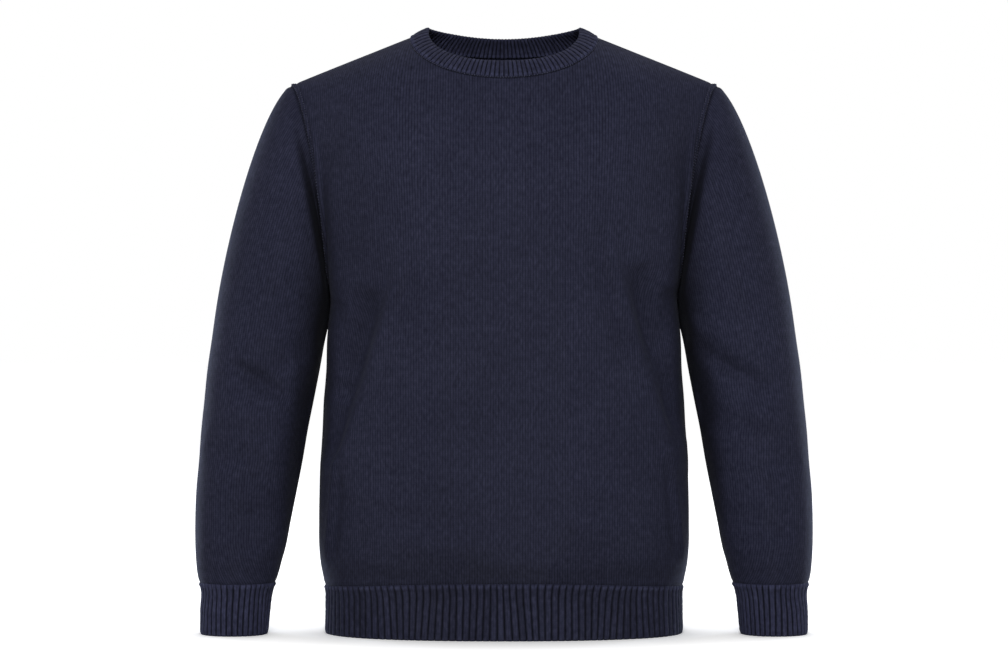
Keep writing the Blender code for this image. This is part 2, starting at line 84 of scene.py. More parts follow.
# Sleeves and cuffs
CAP_FOOT_HEIGHT = -317
CUFF_SEAM_HEIGHT = -613
CUFF_HEIGHT = -671
CUFF_RIBS = 40
SLEEVE_GIRTH = 340

# Neckband, measured to its upper edge
BAND_HALF_WIDTH = 85.5
BAND_SIDE_HEIGHT = 12.5
BAND_BULGE = 1.2
BAND_FOLD_SHARE = 0.95
BAND_TURN_SHARE = 0.25
BAND_RIBS = {"front": 52, "back": 48}
BAND_DEPTH_SHARE = 0.35

# Its upper edge: the place and height of its middle, its squareness, and how sharply it dips
BAND_EDGES = {"front": (-78, -33.5, 2.3, 1), "back": (66, 6, 2.0, 3)}

# The body, by height: half its width, and how far its front and back stand off
BODY_COLUMNS = ("height", "half_width", "front", "back", "squareness")
BODY_SECTIONS = (
    (-671, 200.9, 97, 99, 2.3),
    (-644, 200.4, 96, 98, 2.3),
    (-617, 201.4, 98, 100, 2.3),
    (-608, 203.6, 101, 102, 2.32),
    (-595, 206.2, 108, 105, 2.37),
    (-579, 208.0, 114, 108, 2.42),
    (-545, 208.5, 120, 109, 2.5),
    (-511, 208.0, 123, 106, 2.5),
    (-477, 206.8, 124, 101, 2.5),
    (-443, 205.0, 125, 97, 2.5),
    (-409, 203.4, 126, 94, 2.5),
    (-375, 200.6, 127, 95, 2.5),
    (-341, 199.5, 129, 99, 2.5),
    (-296, 195.0, 130, 106, 2.5),
)
EVEN_SECTION = (195, 118, 2.5)
HEM_SECTION = (201, 98, 2.3)

# A sleeve, by height: its outer and inner lines from the body's middle, front and back,
# and how far back its inner line lies, behind the side of the body
ARM_COLUMNS = ("height", "outer", "inner", "front", "back", "squareness", "inner_back")
ARM_SECTIONS = (
    (-671, 340.2, 266.2, -51, 15, 2.1, 0),
    (-644, 340.2, 263.6, -52, 17, 2.1, 0),
    (-622, 339.6, 260.4, -53, 20, 2.1, 0),
    (-613, 341.9, 257.2, -55, 24, 2.1, 0),
    (-604, 344.4, 253.9, -57, 29, 2.1, 0),
    (-590, 346.0, 250.2, -60, 34, 2.15, 0),
    (-578, 346.8, 246.8, -61, 37, 2.2, 0),
    (-545, 347.4, 240.3, -62, 42, 2.2, 0),
    (-511, 346.4, 233.6, -62, 46, 2.2, 0),
    (-477, 343.5, 227.1, -62, 50, 2.2, 0),
    (-443, 341.3, 221.6, -61, 54, 2.2, 1),
    (-409, 338.0, 215.1, -61, 59, 2.2, 3),
    (-375, 334.8, 208.8, -60, 62, 2.2, 5.5),
    (-342, 330.3, 203.1, -59, 65, 2.15, 7.5),
    (-317, 327.0, 197.2, -58, 66, 2.1, 9),
)

# How the columns of each panel leave the armpit level and reach the shoulder
HANDLE_COLUMNS = ("mid_rise", "edge_rise", "edge_swell", "mid_reach", "edge_reach")
HANDLES = {
    "front": (160, 32, 60, 98, 60),
    "back": (210, 36, 62, 100, 62),
}
EDGE_TURN = 5
ARMHOLE_LEAN = 3
ARMHOLE_FLARE = 22
NECK_LEAN = 45

# How a sleeve leaves the armhole, out, back and down, and how far above the cap's foot it
# turns to its own line: at the shoulder, and then at the armpit
CAP_TURNS = ((30, 0, 21, 110), (1.5, 6, 7, 5))
CAP_SWELL = 20

# Soft folds, each from one place (across, height) to another, its depth and half width. On
# the sleeves, across is in degrees from the outer line to the front. The solids have only
# the first rows of each table, and the shells have them all
FRONT_FOLDS = (
    (-108, -240, -188, -470, -9, 26),
    (102, -215, 192, -460, -9, 27),
    (-104, -290, -176, -520, 6, 24),
    (140, -345, 190, -500, 6, 20),
    (-150, -560, 20, -566, 4, 20),
    (40, -540, 170, -552, 3, 18),
    # From here on in the shells alone
    (-106, -240, -157, -407, 8, 10),
    (-152, -385, -184, -500, 5, 9),
    (-148, -284, -188, -412, -16, 15),
    (-180, -385, -197, -480, -9, 11),
    (112, -226, 158, -380, 8, 10),
    (154, -368, 178, -450, 4, 9),
    (148, -256, 182, -374, -15, 14),
    (181, -360, 192, -445, -7, 10),
    (-188, -150, -184, -300, 6, 13),
    (188, -150, 184, -290, 6, 13),
    (150, -388, 190, -490, 3, 10),
    (-184, -296, -186, -380, -5, 8),
    (184, -280, 186, -350, -5, 8),
    (-183, -462, -199, -590, 3.2, 4),
    (-176, -462, -191, -590, -3, 5),
    (184, -470, 200, -590, 2.6, 4),
    (177, -470, 192, -590, -2.6, 5),
    (-120, -92, -60, -150, -1.5, 14),
    (118, -88, 66, -146, -1.4, 14),
    (-175, -505, -60, -528, 1.6, 10),
    (60, -500, 180, -520, 1.5, 11),
    (-60, -585, 70, -588, 1.6, 9),
    (95, -580, 185, -592, 1.5, 9),
    (-185, -580, -95, -590, 1.5, 9),
    (-30, -420, 60, -470, 1.2, 22),
)
BACK_FOLDS = (
    (-120, -240, -190, -440, -6, 32),
    (125, -235, 192, -450, -6, 32),
    (-190, -570, -120, -420, 4, 18),
    (188, -575, 130, -430, 4, 18),
    (-110, -470, 105, -480, -4, 26),
    (-90, -530, 95, -524, -3, 22),
    # From here on in the shells alone
    (-196, -335, -140, -392, -2.0, 10),
    (194, -330, 146, -396, -2.0, 10),
    (-186, -500, -70, -515, 1.8, 11),
    (64, -496, 184, -512, 1.8, 11),
    (-50, -445, 60, -452, -1.8, 12),
    (-75, -588, 50, -584, 1.5, 9),
    (80, -582, 180, -590, 1.5, 9),
    (-180, -150, -120, -230, -1.6, 13),
    (178, -146, 124, -226, -1.6, 13),
)
RIGHT_FOLDS = (
    (150, -335, 60, -420, -5, 20),
    (165, -395, 90, -450, -4, 18),
    (30, -455, 130, -500, -4, 20),
    (160, -520, 70, -550, -3, 18),
    (215, -340, 300, -425, -5, 20),
    (200, -430, 290, -480, -4, 20),
    # From here on in the shells alone
    (58, -364, 128, -412, -8, 9),
    (90, -325, 134, -382, 4.5, 10),
    (166, -365, 172, -560, -14, 22),
    (150, -378, 152, -505, -8, 15),
    (110, -388, 120, -500, 3.5, 13),
    (168, -236, 168, -356, -26, 13),
    (60, -405, 108, -440, 3.5, 10),
    (150, -365, 95, -392, 1.6, 8),
    (160, -425, 100, -440, 1.6, 8),
    (120, -478, 40, -492, 1.4, 9),
    (150, -575, 60, -590, 1.4, 8),
    (20, -560, 100, -572, 1.2, 9),
    (205, -385, 270, -405, 1.5, 9),
    (210, -462, 280, -472, 1.4, 9),
    (200, -560, 300, -580, 1.4, 9),
)
LEFT_FOLDS = (
    (150, -340, 70, -410, -5, 20),
    (165, -405, 80, -465, -4, 18),
    (40, -470, 140, -505, -4, 20),
    (155, -530, 60, -556, -3, 18),
    (210, -350, 290, -430, -5, 20),
    (205, -440, 300, -500, -4, 20),
    # From here on in the shells alone
    (160, -345, 166, -450, -13, 27),
    (170, -420, 170, -560, -11, 20),
    (142, -372, 150, -446, -8, 18),
    (150, -335, 100, -380, -5, 13),
    (162, -300, 128, -345, 4, 10),
    (120, -362, 70, -398, -5, 9),
    (168, -236, 168, -356, -26, 13),
    (100, -408, 62, -446, 3.5, 10),
    (148, -372, 88, -396, 1.6, 8),
    (158, -438, 92, -452, 1.6, 8),
    (128, -486, 36, -498, 1.4, 9),
    (146, -578, 70, -592, 1.4, 8),
    (16, -556, 96, -574, 1.2, 9),
    (208, -392, 276, -412, 1.5, 9),
    (204, -470, 276, -480, 1.4, 9),
    (206, -566, 296, -582, 1.4, 9),
)
FOLDS = {"front": FRONT_FOLDS, "back": BACK_FOLDS, "right": RIGHT_FOLDS, "left": LEFT_FOLDS}

# The share of a piece over which its folds fade out at each edge. On the sides of a sleeve
# they turn from forwards to backwards, the faster the higher the number
FOLD_FADE = {"side": 0.08, "hem": 1 / 11, "cuff": 1 / 12, "armhole": 0.4}
FOLD_TURN = 3

# How the skin dips and lifts near a seam: (how far from it, half width, lift)
SEAM_SHAPES = {
    "plain": ((0, 1.3, -1.0), (3.4, 1.5, 0.35)),
    "armhole_body": ((0, 0.9, -0.9), (3.0, 2.0, 1.3), (6.6, 1.1, -0.8)),
    "beside_valley": ((10, 6, 4),),
    "armhole_sleeve": ((0, 2.2, -1.0), (6.0, 2.6, 0.3)),
    "rib": ((0, 1.2, -0.25), (4.5, 2.4, 0.3)),
    "neckline": ((0, 1.4, -0.9), (3.6, 1.8, 0.3)),
}

# The valley between body and sleeve, from the armpit up: how deep it sinks into the cloth,
# how far from the seam it is deepest, its half width, its share of the depth on the seam,
# and the shares of the armhole where it starts, is full, eases off and ends
VALLEY_DEPTH = {"front": 21, "back": 9}
VALLEY_PLACE = {"body": 0, "sleeve": 9.5}
VALLEY_REACH = {"body": 4.5, "sleeve": 8}
VALLEY_AT_SEAM = 0.17
VALLEY_SPAN = (0.0, 0.06, 0.35, 0.85)

# Shares of the way up the armhole: over which its seam takes shape, and where the lift
# beside the valley eases off and ends
ARMHOLE_START = 1 / 6
VALLEY_LIFT_END = (0.4, 0.8)

# Steps of the shells: small ones at the seams, even ones elsewhere
SEAM_STEPS = (0, 0.6, 1.2, 1.9, 2.7, 3.6, 4.6, 5.8, 7.2)
CLOTH_STEP = 3.3
NECK_STEPS = 36
NECK_CROWDING = 0.75
PANEL_DEPTH = 321
ARMHOLE_DEPTH = 330
SHOULDER_LENGTH = 144
ARM_LENGTH = 296
CAP_LENGTH = 260
RIB_SPOTS = (0, 0.04, 0.1, 0.2, 0.35, 0.5, 0.65, 0.8, 0.9, 0.96)
RIB_ROWS = 20
BAND_ROWS = 14
EDGE_ROWS = 6
CURVE_SAMPLES = 721
SLEEVE_LEVELS = 600
HALVINGS = 40
SHARP_ANGLE = 62

# How the ribs wander, in ribs: waves of (length, start, strength), full from a few ribs
# away from each end of a band
HEM_WANDER = 0.42
CUFF_WANDER = 0.5
WANDER_WAVES = ((23, 1.1, 1), (9.4, 0, 0.6))
WANDER_FADE = 4

# The yarn: its shades along a ramp, and random ones as (scale, detail, strength)
YARN_SHADES = (
    (0.15, (0.0120, 0.0130, 0.0286, 1)),
    (0.50, (0.0215, 0.0232, 0.0477, 1)),
    (0.85, (0.0350, 0.0375, 0.0720, 1)),
)
THREAD_NAVY = (0.055, 0.058, 0.095)
SHADE_NOISES = ((90.0, 3.0, 0.35), (9.0, 2.0, 0.4))
HEATHER_GRAIN = (0.9, 0.3)
FIBRE_GRAIN = (7.0, 2.5)
FIBRE_HEIGHT = 0.35
THREAD_GRAIN = 420.0
THREAD_SHADES = (0.3, 0.7, 0.7, 1.3)
BUMP = {"Strength": 0.5, "Distance": 0.0004}
MATT = {"Roughness": 0.9, "Specular IOR Level": 0.15}
SHEEN = {"Sheen Weight": 0.02, "Sheen Roughness": 0.3, "Sheen Tint": (0.55, 0.6, 0.9, 1)}

# How the yarn lies in a column of stitches: how full the column is, how narrow and deep the
# split down its middle, how steep the legs of a V, and how full and high each stitch
COLUMN_FULLNESS = 0.8
SPLIT_NARROWNESS = 9.0
SPLIT_DEPTH = 0.45
LEG_SLANT = 1.1
STITCH_FULLNESS = 0.6
STITCH_RISE = 0.45

# Painted shade on the cloth where its yarn lies low, and how the ribs' painted light and shade
# turn into colour: (from, to, low, high). Then the painted shade in folds and corners, where
# the cloth lies close: (reach, samples, power)
JERSEY_PAINTED_SHADES = (0.0, 0.8, 0.4, 1.24)
RIB_PAINTED_SHADES = (0.0, 0.8, 0.75, 1.15)
PAINTED_RIB_LIGHT_RAMP = (0.3, 1.3, 0.3, 1.9)
FOLD_PAINTED_SHADE = (0.045, 8, 1.3)

# What the rib tree is given for each kind of band, lengths in metres. The last two are painted
# light: the whole band painted lighter or darker as the light falls on it, and the shade painted
# into its grooves
RIB_INPUTS = ("Rib Height", "Groove Depth", "Bead Height", "Flatness", "Uneven")
RIB_INPUTS += ("Painted Band Light", "Painted Groove Shade")
RIB_SIZES = {
    "hem": (0.0024, 0.0009, 0.0009, 1.9, 0.2, 0.95, 0.8),
    "cuff": (0.0022, 0.0008, 0.0009, 2.3, 0.18, 1.22, 1.2),
    "neckband": (0.0021, 0.0008, 0.0010, 2.0, 0.16, 1.05, 0.85),
}

# How a rib rises away from the seam and from the free edge, and its painted shade with it:
# between which distances, in millimetres, and from what share to what. Then the bead at its
# top and the highlight painted on it, its small lumps, and the share of its height at which
# its painted shade is neither darker nor lighter
SEAM_RISE = (0.0, 2.4, 0.0, 1.0)
EDGE_RISE = (0.0, 4.5, 0.3, 1.0)
BEAD_PLACE = 2.6
BEAD_REACH = 1.3
BEAD_PAINTED_HIGHLIGHT = 0.38
RIB_LUMP_SCALE = 240.0
RIB_LUMPS = (0.5, 0.75)
RIB_MEAN = 0.75

# What the stitch tree is given, in metres and radians, and where the rows of stitches lie
STITCH_INPUTS = ("Pitch", "Stitch Length", "Stitch Width", "Stitch Height", "Slant", "Uneven")
STITCH_SIZES = {
    "armhole": (0.0032, 0.0024, 0.0015, 0.0016, 0.5, 0.3),
    "neckline": (0.0029, 0.0018, 0.0018, 0.0016, 0.3, 0.3),
}
ARMHOLE_SEED = 11
NECK_SEED = 21
STITCH_COLUMNS = (3, 7)
STITCH_ROWS_LEFT = 12

# The room, the floor with a painted shadow near the sweater (reach, samples, power), and the
# soft boxes (place, aimed at, size, watts), in metres
WHITE = (1, 1, 1, 1)
STAGE_WHITE = (0.985, 0.985, 0.985, 1)
RIM_BLUE = (0.7, 0.8, 1.0)
ROOM_LIGHT = 0.06
FLOOR_HEIGHT = -0.6712
FLOOR_REACH = 30.0
FLOOR_GLOW = 0.95
FLOOR_PAINTED_SHADOW = (0.14, 16, 1.6)
SOFT_BOXES = {
    "front_box": ((-0.08, -3.75, 1.2), (0.0, 0.0, -0.3), 1.4, 108.0),
    "left_rim": ((-2.6, 2.4, -0.4), (-0.3, 0.0, -0.4), 0.7, 80.0),
    "right_rim": ((2.6, 2.4, -0.4), (0.3, 0.0, -0.4), 0.7, 80.0),
    "left_side": ((-3.1, 0.9, -0.3), (-0.3, 0.0, -0.4), 1.2, 20.0),
    "right_side": ((3.1, 0.9, -0.3), (0.3, 0.0, -0.4), 1.2, 20.0),
    "top_box": ((0.0, 1.2, 2.2), (0.0, 0.0, -0.3), 1.4, 26.0),
}

FACES = {"front": -1, "back": 1}
SIDES = {"right": -1, "left": 1}


def put(name, data):
    """Adds one object to the scene, at the origin."""
    thing = bpy.data.objects.new(name, data)
    bpy.context.scene.collection.objects.link(thing)
    return thing


def place_camera():
    """The camera that the photo was taken from."""
    data = bpy.data.cameras.new("camera")
    data.lens = CAMERA_LENS
    data.sensor_width = CAMERA_SENSOR
    data.clip_start, data.clip_end = CAMERA_SIGHT
    camera = put("camera", data)
    camera.location = CAMERA_PLACE
    camera.rotation_euler = (math.pi / 2, 0, 0)
    bpy.context.scene.camera = camera


def read_rows(columns, rows):
    """A table as one array for each named column."""
    return {name: np.array([row[i] for row in rows], float) for i, name in enumerate(columns)}


BODY = read_rows(BODY_COLUMNS, BODY_SECTIONS)
ARM = read_rows(ARM_COLUMNS, ARM_SECTIONS)
NECK_SHARE = NECK_HALF_WIDTH / SHOULDER_HALF_WIDTH


def at_height(table, column, height):
    """A column of a table at any height, on a smooth curve through its rows."""
    levels, values = table["height"], table[column]
    slopes = np.gradient(values, levels)
    place = np.clip(np.searchsorted(levels, height) - 1, 0, len(levels) - 2)
    step = levels[place + 1] - levels[place]
    t = np.clip((height - levels[place]) / step, 0, 1)
    rise = t * t * (3 - 2 * t)
    leaving = slopes[place] * step * t * (1 - t) ** 2
    arriving = slopes[place + 1] * step * t * t * (t - 1)
    return mix(values[place], values[place + 1], rise) + leaving + arriving


def mix(a, b, share):
    """a at share 0, b at share 1."""
    return a + (b - a) * share


def smooth(values, start, end):
    """0 up to the start, 1 from the end on, and a smooth rise between them."""
    t = np.clip((values - start) / (end - start), 0, 1)
    return t * t * (3 - 2 * t)


def bell(distance, place, width):
    """1 at its place, and less and less to both sides."""
    return np.exp(-(((distance - place) / width) ** 2))


def unit(vectors):
    """The vectors at length 1."""
    return vectors / np.maximum(np.linalg.norm(vectors, axis=-1, keepdims=True), 1e-12)


def running(steps, axis=0):
    """Distances from the first place, by the steps from each place to the next."""
    return np.insert(np.cumsum(steps, axis=axis), 0, 0, axis=axis)


def points_at(x, y, z):
    """Points from their coordinates, whatever the shapes of these."""
    return np.stack(np.broadcast_arrays(x, y, z), axis=-1).astype(float)


def rounded(angle, squareness):
    """Sine and cosine of an angle on a squared-off circle."""
    power = 2 / squareness
    sine, cosine = np.sin(angle), np.cos(angle)
    return np.sign(sine) * np.abs(sine) ** power, np.sign(cosine) * np.abs(cosine) ** power


def even_angles(section, fractions):
    """Angles that part a section evenly from its middle, 0, to its sides, -1 and 1."""
    half_width, depth, squareness = section
    angles = np.linspace(0, math.pi / 2, CURVE_SAMPLES)
    sine, cosine = rounded(angles, squareness)
    length = running(np.hypot(np.diff(half_width * sine), np.diff(depth * cosine)))
    return np.sign(fractions) * np.interp(np.abs(fractions) * length[-1], length, angles)


def bezier(curve, t):
    """A point on each cubic curve that four control points give."""
    t = np.asarray(t, float)[..., None]
    start, leave, arrive, end = curve
    near = start * (1 - t) ** 3 + leave * 3 * t * (1 - t) ** 2
    return near + arrive * 3 * t * t * (1 - t) + end * t**3


def body_at(face, angle, height):
    """The body's skin at a height, by its angle from the middle of the face."""
    sine, cosine = rounded(angle, at_height(BODY, "squareness", height))
    x = at_height(BODY, "half_width", height) * sine
    y = FACES[face] * at_height(BODY, face, height) * cosine
    return points_at(x, y, height)


def hem_seam_height(angle):
    """The height of the seam between a panel and its hem rib."""
    return HEM_SEAM_SIDE + HEM_SEAM_RISE * np.cos(angle) ** 2


def shoulder_ridge(fraction):
    """The shoulder seam, and past its neck end a crown that the neckline cuts off."""
    x = SHOULDER_HALF_WIDTH * fraction
    past_neck = np.abs(x) - NECK_HALF_WIDTH
    crown = NECK_CROWN * (1 - (x / NECK_HALF_WIDTH) ** 2)
    z = np.where(past_neck > 0, -SHOULDER_SLOPE * past_neck, crown)
    return points_at(x, SHOULDER_SEAM_Y, z)


def upper_columns(face, fraction):
    """Control points of the columns that run from the armpit level to the shoulder."""
    handle = dict(zip(HANDLE_COLUMNS, HANDLES[face]))
    edge = np.abs(fraction) ** EDGE_TURN
    side = np.sign(fraction) * edge
    angle = even_angles(EVEN_SECTION, fraction)
    start = body_at(face, angle, ARMPIT_HEIGHT)
    climb = start - body_at(face, angle, ARMPIT_HEIGHT - 1)
    rise = mix(handle["mid_rise"], handle["edge_rise"], edge)
    swell = points_at(-side * ARMHOLE_LEAN, FACES[face] * handle["edge_swell"] * edge, 0)
    end = shoulder_ridge(fraction)
    reach = mix(handle["mid_reach"], handle["edge_reach"], edge)
    from_neck = (fraction / NECK_SHARE) ** 2
    lean = NECK_LEAN * from_neck * np.exp(1 - from_neck)
    across = np.sign(fraction) * lean - side * ARMHOLE_FLARE
    arrive = end + points_at(across, FACES[face] * reach, -SHOULDER_SLOPE * lean)
    return start, start + climb * rise[..., None] + swell, arrive, end


def neckline_height(face, x):
    """The height of the neckline seam at a distance from the middle."""
    share = np.clip(np.abs(x) / NECK_HALF_WIDTH, 0, 1)
    return -NECK_DROP[face] * np.sqrt(1 - share**2)


def column_top(face, fraction):
    """How far up its column the cloth ends: 1 on the shoulder, less at the neckline."""
    curve = upper_columns(face, fraction)
    low, high = np.zeros(fraction.shape), np.ones(fraction.shape)
    for _ in range(HALVINGS):
        middle = (low + high) / 2
        point = bezier(curve, middle)
        above = point[..., 2] > neckline_height(face, point[..., 0])
        high = np.where(above, middle, high)
        low = np.where(above, low, middle)
    return np.where(np.abs(fraction) < NECK_SHARE - 1e-6, low, 1)


def body_point(face, fraction, climb):
    """The panel's skin: climb is 0 at the hem seam, 1 at the armpits, 2 at the top."""
    angle = even_angles(EVEN_SECTION, fraction)
    height = mix(hem_seam_height(angle), ARMPIT_HEIGHT, np.clip(climb, 0, 1))
    lower = body_at(face, angle, height)
    share = np.clip(climb - 1, 0, 1) * column_top(face, fraction)
    upper = bezier(upper_columns(face, fraction), share)
    return np.where((climb > 1)[..., None], upper, lower)


def fold_push(folds, x, z):
    """How far the folds move the cloth out of its plain form."""
    push = np.zeros(np.shape(x))
    for x1, z1, x2, z2, depth, width in folds:
        run = math.hypot(x2 - x1, z2 - z1)
        along = ((x - x1) * (x2 - x1) + (z - z1) * (z2 - z1)) / run**2
        away = ((x - x1) * (z2 - z1) - (z - z1) * (x2 - x1)) / run
        length = np.clip(1 - np.abs(2 * along - 1) ** 3, 0, 1)
        push = push + depth * length * bell(away, 0, width)
    return push


def sleeve_fold_push(folds, around, height):
    """The same for a sleeve, laid out flat around its girth."""
    flat = [
        (a / 360 * SLEEVE_GIRTH, z1, b / 360 * SLEEVE_GIRTH, z2, depth, width)
        for a, z1, b, z2, depth, width in folds
    ]
    across = around / (2 * math.pi) * SLEEVE_GIRTH
    return sum(fold_push(flat, across + turn * SLEEVE_GIRTH, height) for turn in (-1, 0, 1))


def grid_normals(points, closed):
    """Unit vectors out of a grid of points."""
    if closed:
        across = np.roll(points, -1, axis=1) - np.roll(points, 1, axis=1)
    else:
        across = np.gradient(points, axis=1)
    return unit(np.cross(across, np.gradient(points, axis=0)))


def arm_at(side, around, height):
    """A sleeve's skin at a height, by its angle from the outer line to the front."""
    outer, inner = at_height(ARM, "outer", height), at_height(ARM, "inner", height)
    front, back = at_height(ARM, "front", height), at_height(ARM, "back", height)
    sine, cosine = rounded(around, at_height(ARM, "squareness", height))
    x = SIDES[side] * ((outer + inner) / 2 + (outer - inner) / 2 * cosine)
    behind = at_height(ARM, "inner_back", height) * ((1 - cosine) / 2) ** 2
    y = (front + back) / 2 - (back - front) / 2 * sine + behind
    return points_at(x, y, height)


def armhole(side, around):
    """The armhole seam, from the shoulder down the front and up the back."""
    edge = np.full(around.shape, float(SIDES[side]))
    down_front = bezier(upper_columns("front", edge), 1 - np.clip(around / math.pi, 0, 1))
    up_back = bezier(upper_columns("back", edge), np.clip(around / math.pi - 1, 0, 1))
    return np.where((around <= math.pi)[..., None], down_front, up_back)


def sleeve_point(side, around, reach):
    """The sleeve's skin: reach is 0 at the armhole, 1 at the cap's foot, 2 at the cuff."""
    under = (1 - np.cos(around)) / 2
    out, back, drop, length = (mix(*sizes, under) for sizes in zip(*CAP_TURNS))
    start = armhole(side, around)
    leave = points_at(SIDES[side] * out, back - CAP_SWELL * np.sin(around), -drop)
    end = arm_at(side, around, CAP_FOOT_HEIGHT)
    climb = end - arm_at(side, around, CAP_FOOT_HEIGHT - 1)
    arrive = climb * length[..., None]
    cap = bezier((start, start + leave, end + arrive, end), np.clip(reach, 0, 1))
    height = mix(CAP_FOOT_HEIGHT, CUFF_SEAM_HEIGHT, np.clip(reach - 1, 0, 1))
    return np.where((reach > 1)[..., None], arm_at(side, around, height), cap)


def graded(length):
    """Shares of a length: small steps away from a seam, then even ones."""
    last = SEAM_STEPS[-1]
    count = 2 * round((length - last) / CLOTH_STEP / 2)
    rest = np.linspace(last, length, count + 1)[1:]
    return np.concatenate([SEAM_STEPS, rest]) / length


def armhole_spots():
    """Shares of the way up the armhole, close together at the shoulder."""
    return 1 - graded(ARMHOLE_DEPTH)[::-1]


LOWER_ROWS = len(graded(PANEL_DEPTH)) - 1
ARMHOLE_ROWS = len(armhole_spots()) - 1


def panel_columns():
    """Shares of the way from the middle of a panel to its side, close together at seams."""
    turn = np.linspace(0, 1, NECK_STEPS + 1)
    neck = NECK_SHARE * mix(turn, np.sin(turn * math.pi / 2), NECK_CROWDING)
    side = 1 - (1 - NECK_SHARE) * graded(SHOULDER_LENGTH)[::-1]
    return np.concatenate([neck, side[1:]])


def edge_distance(points, axis, at_end):
    """Distances of a grid's points from its first or last row or column."""
    lengths = running(np.linalg.norm(np.diff(points, axis=axis), axis=-1), axis)
    return np.take(lengths, [-1], axis=axis) - lengths if at_end else lengths


def square_lengths(points, lines):
    """Distances up the columns of a grid, square to the lines that cross them."""
    lines = (lines[1:] + lines[:-1]) / 2
    steps = np.diff(points, axis=0)
    steps = steps - lines * np.sum(steps * lines, axis=-1, keepdims=True)
    return running(np.linalg.norm(steps, axis=-1))


def level_wales(skin):
    """Wales of a tube, counted level round it from its first column, and the count all round."""
    levels = np.linspace(skin[..., 2].min(), skin[..., 2].max(), SLEEVE_LEVELS)
    heights = np.maximum.accumulate(skin[..., 2], axis=0)
    count = skin.shape[1]
    lines = np.array(
        [
            [np.interp(levels, heights[:, k], skin[:, k, axis]) for axis in (0, 1)]
            for k in (*range(count), 0)
        ]
    )
    length = running(np.linalg.norm(np.diff(lines, axis=0), axis=1) / WALE)
    whole = length[-1].copy()
    length[count // 2 + 1 :] -= whole
    wales = [np.interp(skin[:, k, 2], levels, length[k]) for k in range(count)]
    return np.stack(wales, axis=1), np.interp(skin[..., 2], levels, whole)


def seam_lift(shape, distance):
    """How far the skin lifts at a distance from a seam."""
    return sum(lift * bell(distance, place, width) for place, width, lift in SEAM_SHAPES[shape])


def valley(face, share, distance, piece):
    """How far the cloth sinks beside the lower armhole, by the share of the way up it."""
    start, full, ease, end = VALLEY_SPAN
    window = smooth(share, start, full) * (1 - smooth(share, ease, end))
    shape = bell(distance, VALLEY_PLACE[piece], VALLEY_REACH[piece])
    on_seam = bell(0, VALLEY_PLACE[piece], VALLEY_REACH[piece])
    return VALLEY_DEPTH[face] * window * shape * VALLEY_AT_SEAM / on_seam


class Wall:
    """A piece of cloth: its outer skin, what its seams ask of its edges, and its stitches."""

    def __init__(self, skin, closed):
        self.skin = skin
        self.closed = closed
        self.out = grid_normals(skin, closed)
        self.seam_out = np.zeros(skin.shape)
        self.lift = seam_lift("rib", edge_distance(skin, 0, False))
        if closed:
            self.wales, self.girth = level_wales(skin)
            level = unit(np.cross((0.0, 0.0, 1.0), self.out))
            self.courses = square_lengths(skin, level) / COURSE
        else:
            up = unit(np.gradient(skin, axis=0))
            wales = square_lengths(skin.swapaxes(0, 1), up.swapaxes(0, 1)).T / WALE
            self.wales = wales - wales[:, [skin.shape[1] // 2]]
            self.courses = edge_distance(skin, 0, False) / COURSE

    def shared_out(self):
        """The way out, which at a seam the walls on both sides share."""
        sewn = np.any(self.seam_out != 0, axis=-1, keepdims=True)
        return np.where(sewn, unit(self.seam_out), self.out)

    def outer(self):
        """The outer skin, with its dips and lifts at the seams."""
        return self.skin + self.shared_out() * self.lift[..., None]

    def inner(self):
        """The plain inner skin, with half of the columns."""
        return (self.skin - self.shared_out() * JERSEY_WALL)[:, ::2]

    def on_both_skins(self, grid):
        """Values of the outer skin's points, and then the inner skin's."""
        return np.concatenate([grid.ravel(), grid[:, ::2].ravel()])

    def stitches(self):
        """Wales across and courses up, for every point of both skins."""
        grids = (self.wales, self.courses)
        return np.stack([self.on_both_skins(grid) for grid in grids], axis=-1)


class Edge:
    """Some places along the edge of a wall, and a step from them into it."""

    def __init__(self, wall, rows, columns, step):
        rows, columns = np.broadcast_arrays(rows, columns)
        inside = (rows + step[0], columns + step[1])
        self.wall = wall
        self.places = (rows, columns)
        self.points = wall.skin[self.places]
        self.out = wall.out[self.places]
        self.inward = unit(wall.skin[inside] - self.points)


def sew(edge, other):
    """Gives two edges that share their points one way out."""
    along = unit(np.gradient(edge.points, axis=0))
    out = edge.out + other.out + edge.inward + other.inward
    out = unit(out - along * np.sum(out * along, axis=-1, keepdims=True))
    for piece in (edge, other):
        piece.wall.seam_out[piece.places] += out


def panel(face):
    """The front or back: columns from side to side, rows from hem seam to shoulder."""
    half = panel_columns()
    across = np.concatenate([-half[:0:-1], half]) * -FACES[face]
    rows = np.concatenate([graded(PANEL_DEPTH), 1 + armhole_spots()[1:]])
    fraction, climb = np.meshgrid(across, rows)
    skin = body_point(face, fraction, climb)
    for at_end in (False, True):
        side = edge_distance(skin, 1, at_end)
        skin[..., 1] -= FACES[face] * valley(face, climb - 1, side, "body")
    push = fold_push(FOLDS[face], skin[..., 0], skin[..., 2])
    push = push * np.clip((1 - np.abs(fraction)) / FOLD_FADE["side"], 0, 1)
    push = push * np.clip(climb / FOLD_FADE["hem"], 0, 1)
    wall = Wall(skin + grid_normals(skin, False) * push[..., None], closed=False)
    top = edge_distance(wall.skin, 0, True)
    at_neck = np.abs(fraction) < NECK_SHARE
    wall.lift += np.where(at_neck, seam_lift("neckline", top), seam_lift("plain", top))
    upper = np.clip((climb - 1) / ARMHOLE_START, 0, 1)
    low = upper * (1 - smooth(climb - 1, *VALLEY_LIFT_END))
    for at_end in (False, True):
        side = edge_distance(wall.skin, 1, at_end)
        wall.lift += mix(seam_lift("plain", side), seam_lift("armhole_body", side), upper)
        wall.lift += seam_lift("beside_valley", side) * low
    return wall


